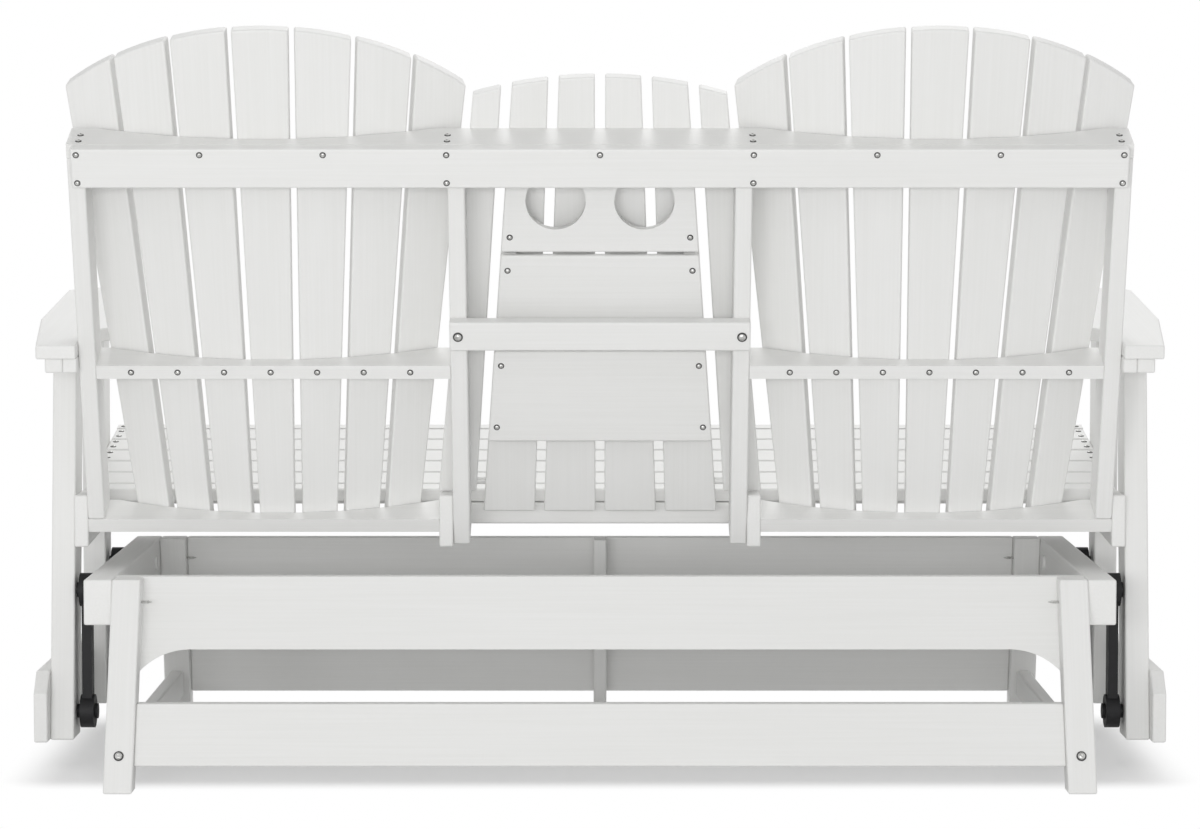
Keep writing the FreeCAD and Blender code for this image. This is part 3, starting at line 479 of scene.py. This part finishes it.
def board_lean(node, run):
    """How far a board that runs along Y or Z leans to the rear, from its largest face square to X."""
    square = [face for face in islands(node)[0] if abs(face[1].x) < SIDEWAYS]
    normal = max(square, key=lambda face: face[2])[1]
    if run == 1:
        return math.atan2(normal.y, normal.z) if normal.z > 0 else math.atan2(-normal.y, -normal.z)
    return math.atan2(-normal.z, normal.y) if normal.y > 0 else math.atan2(normal.z, -normal.y)


def back_lean():
    """How far the back leans to the rear."""
    step = middle("back_plate_middle_left") - middle("back_plate_lower_left")
    return math.atan2(step.y, step.z)


def up_the_back():
    lean = back_lean()
    return Vector((0.0, math.sin(lean), math.cos(lean)))


def slat_axis(faces):
    """The middle of a fan slat's foot on its front face, its way up, and that face's normal."""
    up = up_the_back()
    centre, normal, corners = flat_face(faces, FORWARD)
    lowest = min(corner.dot(up) for corner in corners)
    foot = [corner for corner in corners if corner.dot(up) < lowest + FOOT_BAND]
    foot = (min(foot, key=lambda corner: corner.x) + max(foot, key=lambda corner: corner.x)) / 2
    return foot, (centre - foot) / (centre - foot).dot(up), normal


def fan_spread():
    """Where a fan's slats stand and how far below their feet they would meet."""
    slats = sorted((slat_axis(faces)[:2] for faces in islands("back_slats_left")),
                   key=lambda slat: slat[0].x)
    half = (slats[-1][0].x - slats[0][0].x) / 2
    slope = (slats[-1][1].x - slats[0][1].x) / 2
    return {"middle": slats[0][0].x + half, "foot": slats[0][0].dot(up_the_back()), "reach": half / slope}


class GLIDER_OT_boards(bpy.types.Operator):
    """Give every board its white lumber, with the grain along the board"""

    bl_idname = "glider.boards"
    bl_label = "Finish boards"

    def execute(self, context):
        dress(ACROSS, white_lumber("white_lumber_across", 0))
        for names, run, word in ((FORE_AND_AFT, 1, "fore_aft"), (UPRIGHT, 2, "upright")):
            finishes = {}
            for name in names:
                lean = round(board_lean(name, run), 2)
                if lean not in finishes:
                    finishes[lean] = white_lumber("white_lumber_%s_%d" % (word, len(finishes)), run, lean)
                dress([name], finishes[lean])
        dress(FANS, white_lumber("white_lumber_fan", 2, back_lean(), fan_spread()))
        return {"FINISHED"}


class GLIDER_OT_pivots(bpy.types.Operator):
    """Coat the swing arms and their pivot bolts black, with white caps inside the base rails"""

    bl_idname = "glider.pivots"
    bl_label = "Finish swing arms and pivots"

    def execute(self, context):
        rail_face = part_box("base_rail_left")[0][0]
        dress(SWING_ARMS + ["seat_pivot_bolts"], black_coating("black_arm_coating"))
        dress(["base_pivot_bolts"], black_coating("capped_bolt_coating", rail_face))
        return {"FINISHED"}


def corners_and_centre(faces):
    """All corners of a solid's faces, and the middle of them."""
    corners = [corner for face in faces for corner in face[3]]
    return corners, sum(corners, Vector()) / len(corners)


def seats(node, ways):
    """Where the node's fastener heads sit and which way they look, as (seat, facing)."""
    spots = []
    for faces in islands(node):
        corners, centre = corners_and_centre(faces)
        caps = max(faces, key=lambda face: face[2])
        way = max(ways, key=lambda item: abs(Vector(item).dot(caps[1])))
        facing = caps[1] if caps[1].dot(Vector(way)) > 0 else -caps[1]
        depth = min((corner - centre).dot(facing) for corner in corners)
        spots.append((centre + facing * depth, facing))
    return spots


def point_cloud(name, spots):
    """An object of loose points, each with the way that a fastener on it looks."""
    mesh = bpy.data.meshes.new(name)
    mesh.from_pydata([seat for seat, _ in spots], [], [])
    facing = mesh.attributes.new("facing", "FLOAT_VECTOR", "POINT")
    for number, (_, way) in enumerate(spots):
        facing.data[number].vector = way
    piece = bpy.data.objects.new(name, mesh)
    bpy.context.scene.collection.objects.link(piece)
    return piece


class FastenerTree(NodeTree):
    """A geometry tree that puts one shape on every point, square to the point's facing."""

    def __init__(self, name, inputs):
        group = bpy.data.node_groups.new(name, "GeometryNodeTree")
        super().__init__(group)
        group.interface.new_socket(name="Geometry", in_out="INPUT", socket_type="NodeSocketGeometry")
        for label, kind in inputs:
            group.interface.new_socket(name=label, in_out="INPUT", socket_type=kind)
        group.interface.new_socket(name="Geometry", in_out="OUTPUT", socket_type="NodeSocketGeometry")
        self.source = self.add("NodeGroupInput")

    def value(self, label):
        return self.source.outputs[label]

    def xyz(self, across, along, up):
        made = self.add("ShaderNodeCombineXYZ")
        for socket, value in zip(made.inputs, (across, along, up)):
            if isinstance(value, (int, float)):
                socket.default_value = value
            else:
                self.join(value, socket)
        return made.outputs[0]

    def moved(self, geometry, offset, spin=0.0):
        made = self.add("GeometryNodeTransform")
        made.inputs["Rotation"].default_value = (0.0, 0.0, spin)
        self.join(geometry, made.inputs["Geometry"])
        self.join(offset, made.inputs["Translation"])
        return made.outputs["Geometry"]

    def place_on_points(self, shape):
        """Instance the shape on the points, spin each by chance, and end in a plain mesh."""
        facing = self.add("GeometryNodeInputNamedAttribute", data_type="FLOAT_VECTOR")
        facing.inputs["Name"].default_value = "facing"
        turn = self.add("FunctionNodeAlignRotationToVector", axis="Z")
        self.join(facing.outputs["Attribute"], turn.inputs["Vector"])
        spin = self.add("FunctionNodeRandomValue", data_type="FLOAT")
        spin.inputs[3].default_value = math.tau
        self.join(self.value("Seed"), spin.inputs["Seed"])
        driven = self.add("FunctionNodeAxisAngleToRotation")
        self.join(spin.outputs[1], driven.inputs["Angle"])
        rotate = self.add("FunctionNodeRotateRotation", rotation_space="LOCAL")
        self.join(turn.outputs["Rotation"], rotate.inputs["Rotation"])
        self.join(driven.outputs["Rotation"], rotate.inputs["Rotate By"])
        copies = self.add("GeometryNodeInstanceOnPoints")
        self.join(self.value("Geometry"), copies.inputs["Points"])
        self.join(shape, copies.inputs["Instance"])
        self.join(rotate.outputs["Rotation"], copies.inputs["Rotation"])
        real = self.add("GeometryNodeRealizeInstances")
        self.join(copies.outputs["Instances"], real.inputs["Geometry"])
        coat = self.add("GeometryNodeSetMaterial")
        self.join(real.outputs["Geometry"], coat.inputs["Geometry"])
        self.join(self.value("Material"), coat.inputs["Material"])
        # Faces of the dark ring get the painted-shade material, which stands in for a counterbore's shadow
        ringed = self.add("GeometryNodeInputNamedAttribute", data_type="BOOLEAN")
        ringed.inputs["Name"].default_value = "shade_ring"
        dark = self.add("GeometryNodeSetMaterial")
        self.join(coat.outputs["Geometry"], dark.inputs["Geometry"])
        self.join(ringed.outputs["Attribute"], dark.inputs["Selection"])
        self.join(self.value("Shade Ring Material"), dark.inputs["Material"])
        end = self.add("NodeGroupOutput")
        self.join(dark.outputs["Geometry"], end.inputs["Geometry"])
        return self.tree


# Sides, side rings and top rings of a head
HEAD_SIDES = 24
HEAD_RINGS = 2
HEAD_TOP_RINGS = 5
# Recess: share of the head's radius, share of its height at which the recess is centred, and a turn that
# sets its corners between the corners of the head
DRIVE_SHARE = 0.46
DRIVE_RISE = 0.92
DRIVE_TURN = math.radians(5.0)
# Dark ring of painted shade for a counterbore's shadow: share of the head's height
SHADE_RING_SHARE = 0.2
# Height above the middle of a head from which its corners are domed
DOME_START = 1e-6


def head_tree():
    """Domed heads on dark rings of painted shade that stand in for a counterbore's shadow, with a driven
    recess: four sides on a board screw, six on a bolt.
    """
    tree = FastenerTree("fastener_heads", [
        ("Head Radius", "NodeSocketFloat"), ("Head Height", "NodeSocketFloat"),
        ("Shade Ring Radius", "NodeSocketFloat"), ("Recess Sides", "NodeSocketInt"),
        ("Seed", "NodeSocketInt"), ("Material", "NodeSocketMaterial"),
        ("Shade Ring Material", "NodeSocketMaterial")])
    radius = tree.value("Head Radius")
    height = tree.value("Head Height")
    half = tree.math("MULTIPLY", height, 0.5)
    disc = tree.add("GeometryNodeMeshCylinder", fill_type="NGON")
    disc.inputs["Vertices"].default_value = HEAD_SIDES
    disc.inputs["Side Segments"].default_value = HEAD_RINGS
    disc.inputs["Fill Segments"].default_value = HEAD_TOP_RINGS
    tree.join(radius, disc.inputs["Radius"])
    tree.join(half, disc.inputs["Depth"])
    spot = tree.add("GeometryNodeInputPosition")
    parts = tree.add("ShaderNodeSeparateXYZ")
    tree.join(spot.outputs[0], parts.inputs[0])
    reach = tree.math("ADD", tree.math("POWER", parts.outputs[0], 2.0),
                      tree.math("POWER", parts.outputs[1], 2.0))
    share = tree.math("DIVIDE", reach, tree.math("POWER", radius, 2.0))
    swell = tree.math("MULTIPLY", half, tree.math("SUBTRACT", 1.0, share))
    dome = tree.add("GeometryNodeSetPosition")
    tree.join(disc.outputs["Mesh"], dome.inputs["Geometry"])
    tree.join(tree.math("GREATER_THAN", parts.outputs[2], DOME_START), dome.inputs["Selection"])
    tree.join(tree.xyz(0.0, 0.0, swell), dome.inputs["Offset"])
    seated = tree.moved(dome.outputs["Geometry"], tree.xyz(0.0, 0.0, tree.math("MULTIPLY", half, 0.5)))
    drive = tree.add("GeometryNodeMeshCylinder", fill_type="NGON")
    tree.join(tree.value("Recess Sides"), drive.inputs["Vertices"])
    tree.join(tree.math("MULTIPLY", radius, DRIVE_SHARE), drive.inputs["Radius"])
    tree.join(height, drive.inputs["Depth"])
    rise = tree.math("MULTIPLY", height, DRIVE_RISE)
    sunk = tree.moved(drive.outputs["Mesh"], tree.xyz(0.0, 0.0, rise), DRIVE_TURN)
    carve = tree.add("GeometryNodeMeshBoolean", operation="DIFFERENCE")
    tree.join(seated, carve.inputs["Mesh 1"])
    tree.join(sunk, carve.inputs["Mesh 2"])
    # A thin dark disc under the head: painted shade standing in for the shadow in a counterbore
    thin = tree.math("MULTIPLY", height, SHADE_RING_SHARE)
    plate = tree.add("GeometryNodeMeshCylinder", fill_type="NGON")
    plate.inputs["Vertices"].default_value = HEAD_SIDES
    tree.join(tree.value("Shade Ring Radius"), plate.inputs["Radius"])
    tree.join(thin, plate.inputs["Depth"])
    marked = tree.add("GeometryNodeStoreNamedAttribute", data_type="BOOLEAN", domain="FACE")
    marked.inputs["Name"].default_value = "shade_ring"
    marked.inputs["Value"].default_value = True
    flat = tree.moved(plate.outputs["Mesh"], tree.xyz(0.0, 0.0, tree.math("MULTIPLY", thin, 0.5)))
    tree.join(flat, marked.inputs["Geometry"])
    both = tree.add("GeometryNodeJoinGeometry")
    tree.join(carve.outputs["Mesh"], both.inputs["Geometry"])
    tree.join(marked.outputs["Geometry"], both.inputs["Geometry"])
    return tree.place_on_points(both.outputs["Geometry"])


# Sides and rings of a tip, depth of its thread as a share of its radius, share of its length that tapers,
# and share of its radius left at the point
TIP_SIDES = 16
TIP_RINGS = 64
THREAD_DEPTH = 0.16
TIP_TAPER = 0.38
TIP_POINT = 0.06


def tip_tree():
    """Threaded screw tips that taper to a point."""
    tree = FastenerTree("screw_tips", [
        ("Tip Radius", "NodeSocketFloat"), ("Tip Length", "NodeSocketFloat"),
        ("Thread Pitch", "NodeSocketFloat"), ("Seed", "NodeSocketInt"),
        ("Material", "NodeSocketMaterial"), ("Shade Ring Material", "NodeSocketMaterial")])
    radius = tree.value("Tip Radius")
    length = tree.value("Tip Length")
    shank = tree.add("GeometryNodeMeshCylinder", fill_type="NGON")
    shank.inputs["Vertices"].default_value = TIP_SIDES
    shank.inputs["Side Segments"].default_value = TIP_RINGS
    tree.join(radius, shank.inputs["Radius"])
    tree.join(length, shank.inputs["Depth"])
    half = tree.math("MULTIPLY", length, 0.5)
    raised = tree.moved(shank.outputs["Mesh"], tree.xyz(0.0, 0.0, half))
    spot = tree.add("GeometryNodeInputPosition")
    parts = tree.add("ShaderNodeSeparateXYZ")
    tree.join(spot.outputs[0], parts.inputs[0])
    across, along, up = parts.outputs
    round_angle = tree.math("ARCTAN2", along, across)
    turns = tree.math("MULTIPLY", tree.math("DIVIDE", up, tree.value("Thread Pitch")), math.tau)
    ridge = tree.math("SINE", tree.math("SUBTRACT", turns, round_angle))
    thread = tree.math("ADD", tree.math("MULTIPLY", ridge, THREAD_DEPTH), 1.0 - THREAD_DEPTH)
    left = tree.math("DIVIDE", tree.math("SUBTRACT", length, up), tree.math("MULTIPLY", length, TIP_TAPER))
    taper = tree.math("MAXIMUM", tree.math("MINIMUM", left, 1.0), TIP_POINT)
    scale = tree.math("MULTIPLY", thread, taper)
    shaped = tree.add("GeometryNodeSetPosition")
    tree.join(raised, shaped.inputs["Geometry"])
    tree.join(tree.xyz(tree.math("MULTIPLY", across, scale), tree.math("MULTIPLY", along, scale), up),
              shaped.inputs["Position"])
    return tree.place_on_points(shaped.outputs["Geometry"])


def grow(name, spots, tree, values, body, nodes=()):
    """Grow fasteners on points, make them a plain mesh, and let them ride on a body."""
    piece = point_cloud(name, spots)
    growth = piece.modifiers.new("fasteners", "NODES")
    growth.node_group = tree
    for item in tree.interface.items_tree:
        if item.in_out == "INPUT" and item.name in values:
            growth[item.identifier] = values[item.name]
    evaluated = piece.evaluated_get(bpy.context.evaluated_depsgraph_get())
    mesh = bpy.data.meshes.new_from_object(evaluated)
    piece.modifiers.clear()
    piece.data = mesh
    mesh.name = name
    if not mesh.polygons:
        raise RuntimeError("%s has no faces" % name)
    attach(piece, body)
    if nodes:
        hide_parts(*nodes)


# Sides of the recess in a board screw and in a bolt
SCREW_DRIVE_SIDES = 4
BOLT_DRIVE_SIDES = 6
# A seat screw's distance from the slat's edge, in radii of its dark ring of painted shade
SCREW_INSET = 3.0


def seat_slat_spots(inset):
    """Two screws in each seat slat, and one in its narrow neighbours, above every stringer."""
    places = [middle("stringer_%s_%s" % (word, side)).x
              for word in ("outer", "inner") for side in ("left", "right")]
    spots = []
    for node in ("seat_slats", "seat_nosing_slat", "seat_rear_half_slat"):
        for faces in islands(node):
            centre, normal, corners = flat_face(faces, (0.0, 0.0, 1.0))
            along = Vector((0.0, normal.z, -normal.y))
            half = max((corner - centre).dot(along) for corner in corners)
            offsets = (inset - half, half - inset) if half > 2 * inset else (0.0,)
            for offset in offsets:
                for across in places:
                    spots.append((Vector((across, centre.y, centre.z)) + along * offset, normal))
    return spots


def fan_spots():
    """One screw through each fan slat into the lower, middle and top plates."""
    up = up_the_back()
    spots = []
    for side in ("left", "right"):
        plates = [middle("back_plate_lower_" + side), middle("back_plate_middle_" + side),
                  middle("back_plate_top")]
        for faces in islands("back_slats_" + side):
            foot, axis, normal = slat_axis(faces)
            for plate in plates:
                spots.append((foot + axis * (plate - foot).dot(up), normal))
    return spots


def on_crossbar(spot):
    low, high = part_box("back_crossbar")
    return abs(spot.x) < high[0] and low[2] < spot.z < high[2]


class GLIDER_OT_fasteners(bpy.types.Operator):
    """Grow the screw heads, bolt heads and screw tips on the frame's own places"""

    bl_idname = "glider.fasteners"
    bl_label = "Grow fasteners"

    def execute(self, context):
        look = fastener_settings()
        steel = stainless()
        heads = head_tree()
        tips = tip_tree()
        # The dark ring under each head is painted shade for the shadow in a counterbore
        shade_ring = painted_shade_ring()
        shared = {"Seed": look.spin_seed, "Material": steel, "Shade Ring Material": shade_ring}
        screws = {"Head Radius": look.screw_radius, "Head Height": look.screw_height,
                  "Shade Ring Radius": look.screw_shade_ring, "Recess Sides": SCREW_DRIVE_SIDES, **shared}
        bolts = {"Head Radius": look.bolt_radius, "Head Height": look.bolt_height,
                 "Shade Ring Radius": look.bolt_shade_ring, "Recess Sides": BOLT_DRIVE_SIDES, **shared}
        tip_values = {"Tip Radius": look.tip_radius, "Tip Length": look.tip_length,
                      "Thread Pitch": look.thread_pitch, **shared}
        back_seats = seats("back_screws", (REARWARD, UPWARD))
        bar_seats = [spot for spot in back_seats if on_crossbar(spot[0])]
        board_seats = [spot for spot in back_seats if not on_crossbar(spot[0])]
        grow("back_screw_heads", board_seats, heads, screws, "seat", ["back_screws"])
        grow("crossbar_bolt_heads", bar_seats, heads, bolts, "seat")
        grow("console_screw_heads", seats("console_screws", (REARWARD,)), heads, screws, "console",
             ["console_screws"])
        inset = SCREW_INSET * look.screw_shade_ring
        grow("seat_screw_heads", seat_slat_spots(inset) + fan_spots(), heads, screws, "seat")
        leg_spots = [(seat, way if way.y * seat.y > 0 else -way)
                     for seat, way in seats("base_leg_bolts", ((0.0, 1.0, 0.0),))]
        grow("base_bolt_heads", leg_spots, heads, bolts, "base", ["base_leg_bolts"])
        tip_spots = []
        for faces in islands("base_rail_screws"):
            corners, centre = corners_and_centre(faces)
            outer = max(corners, key=lambda corner: abs(corner.x)).x
            inward = Vector((-math.copysign(1.0, outer), 0.0, 0.0))
            tip_spots.append((Vector((outer, centre.y, centre.z)), inward))
        grow("base_screw_tips", tip_spots, tips, tip_values, "base", ["base_rail_screws"])
        return {"FINISHED"}


def camera_sees(tree):
    """One where the camera, a mirror or glass looks, and nought for the light that falls on things."""
    path = tree.add("ShaderNodeLightPath")
    seen = tree.math("MAXIMUM", path.outputs["Is Camera Ray"], path.outputs["Is Glossy Ray"])
    return tree.math("MAXIMUM", seen, path.outputs["Is Transmission Ray"])


WHITE = (1.0, 1.0, 1.0, 1.0)
FLOOR_GREY = (0.86, 0.86, 0.86, 1.0)
FLOOR_SPAN = 30.0
SENSOR_WIDTH = 36.0
# Width, height and place of the two soft lamps
KEY_LAMP = (3.6, 1.1, (0.7, 6.0, 0.9))
TOP_LAMP = (3.5, 2.1, (-0.3, -2.6, 3.4))


def floor_material(look):
    """A white floor that takes the object's shadow close to it."""
    material = bpy.data.materials.new("white_floor")
    material.use_nodes = True
    tree = NodeTree(material.node_tree)
    material.node_tree.nodes.remove(material.node_tree.nodes["Principled BSDF"])
    matt = tree.add("ShaderNodeBsdfDiffuse")
    matt.inputs["Color"].default_value = FLOOR_GREY
    glow = tree.add("ShaderNodeEmission")
    glow.inputs["Color"].default_value = WHITE
    glow.inputs["Strength"].default_value = 1.0
    low, high = (Vector(corner) for corner in CAD_BOX)
    parts = tree.add("ShaderNodeSeparateXYZ")
    tree.join(object_place(tree), parts.inputs[0])
    past = []
    for axis in (0, 1):
        centred = tree.math("SUBTRACT", parts.outputs[axis], (low[axis] + high[axis]) / 2)
        inner = (high[axis] - low[axis]) / 2 - look.shadow_inset[axis]
        outside = tree.math("SUBTRACT", tree.math("ABSOLUTE", centred), inner)
        past.append(tree.math("POWER", tree.math("MAXIMUM", outside, 0.0), 2.0))
    fade = tree.add("ShaderNodeMapRange", interpolation_type="SMOOTHSTEP")
    fade.inputs["From Max"].default_value = look.shadow_reach
    fade.inputs["To Min"].default_value = look.floor_white
    fade.inputs["To Max"].default_value = 1.0
    tree.join(tree.math("SQRT", tree.math("ADD", past[0], past[1])), fade.inputs["Value"])
    mix = tree.add("ShaderNodeMixShader")
    tree.join(tree.math("MULTIPLY", camera_sees(tree), fade.outputs["Result"]), mix.inputs[0])
    tree.join(matt.outputs[0], mix.inputs[1])
    tree.join(glow.outputs[0], mix.inputs[2])
    tree.join(mix.outputs[0], material.node_tree.nodes["Material Output"].inputs["Surface"])
    return material


def soft_lamp(name, power, width, height, place, aim):
    """A wide area lamp turned to a point."""
    lamp = bpy.data.lights.new(name, "AREA")
    lamp.shape = "RECTANGLE"
    lamp.size = width
    lamp.size_y = height
    lamp.energy = power
    holder = bpy.data.objects.new(name, lamp)
    holder.location = place
    holder.rotation_euler = (Vector(aim) - Vector(place)).to_track_quat("-Z", "Y").to_euler()
    bpy.context.scene.collection.objects.link(holder)


class GLIDER_OT_stage(bpy.types.Operator):
    """Set the floor, the soft light and the camera behind the glider"""

    bl_idname = "glider.stage"
    bl_label = "Set stage"

    def execute(self, context):
        scene = context.scene
        look = stage_settings()
        scene.view_settings.view_transform = "Standard"
        mesh = bpy.data.meshes.new("floor")
        corners = [(across * FLOOR_SPAN, along * FLOOR_SPAN, 0.0)
                   for across, along in ((-1, -1), (1, -1), (1, 1), (-1, 1))]
        mesh.from_pydata(corners, [], [(0, 1, 2, 3)])
        mesh.materials.append(floor_material(look))
        floor = bpy.data.objects.new("floor", mesh)
        scene.collection.objects.link(floor)
        world = bpy.data.worlds.new("studio")
        world.use_nodes = True
        scene.world = world
        tree = NodeTree(world.node_tree)
        sky = world.node_tree.nodes["Background"]
        sky.inputs["Color"].default_value = WHITE
        strength = tree.add("ShaderNodeMapRange")
        strength.inputs["To Min"].default_value = look.room_light
        strength.inputs["To Max"].default_value = 1.0
        tree.join(camera_sees(tree), strength.inputs["Value"])
        tree.join(strength.outputs["Result"], sky.inputs["Strength"])
        heart = (Vector(CAD_BOX[0]) + Vector(CAD_BOX[1])) / 2
        soft_lamp("key_lamp", look.key_power, *KEY_LAMP, heart)
        soft_lamp("top_lamp", look.top_power, *TOP_LAMP, heart)
        camera = bpy.data.cameras.new("photo_camera")
        camera.sensor_width = SENSOR_WIDTH
        camera.lens = look.lens
        holder = bpy.data.objects.new("photo_camera", camera)
        rear_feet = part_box("base_leg_rear_left")[1][1]
        holder.location = (0.0, rear_feet + look.camera_distance, look.camera_height)
        holder.rotation_euler = (math.radians(90.0) - look.camera_pitch, 0.0, math.pi)
        scene.collection.objects.link(holder)
        scene.camera = holder
        return {"FINISHED"}


class GLIDER_PT_panel(bpy.types.Panel):
    """The glider's settings and steps"""

    bl_idname = "GLIDER_PT_panel"
    bl_label = "Glider"
    bl_space_type = "VIEW_3D"
    bl_region_type = "UI"
    bl_category = "Glider"

    def draw(self, context):
        layout = self.layout
        for settings in (lumber_settings(), fastener_settings(), stage_settings()):
            column = layout.column(align=True)
            for name in settings.__annotations__:
                column.prop(settings, name)
        for step in STEPS:
            layout.operator(step.bl_idname)


STEPS = (GLIDER_OT_boards, GLIDER_OT_pivots, GLIDER_OT_fasteners, GLIDER_OT_stage)
SETTINGS = {"glider_lumber": LumberSettings, "glider_fasteners": FastenerSettings,
            "glider_stage": StageSettings}
CLASSES = (*SETTINGS.values(), *STEPS, GLIDER_PT_panel)


def register():
    for item in CLASSES:
        bpy.utils.register_class(item)
    for name, group in SETTINGS.items():
        setattr(bpy.types.Scene, name, PointerProperty(type=group))


def unregister():
    for name in SETTINGS:
        delattr(bpy.types.Scene, name)
    for item in reversed(CLASSES):
        bpy.utils.unregister_class(item)


def main():
    """Register, dress the glider and set the stage."""
    register()
    bpy.ops.glider.boards()
    bpy.ops.glider.pivots()
    bpy.ops.glider.fasteners()
    bpy.ops.glider.stage()


if __name__ == "__main__":
    main()
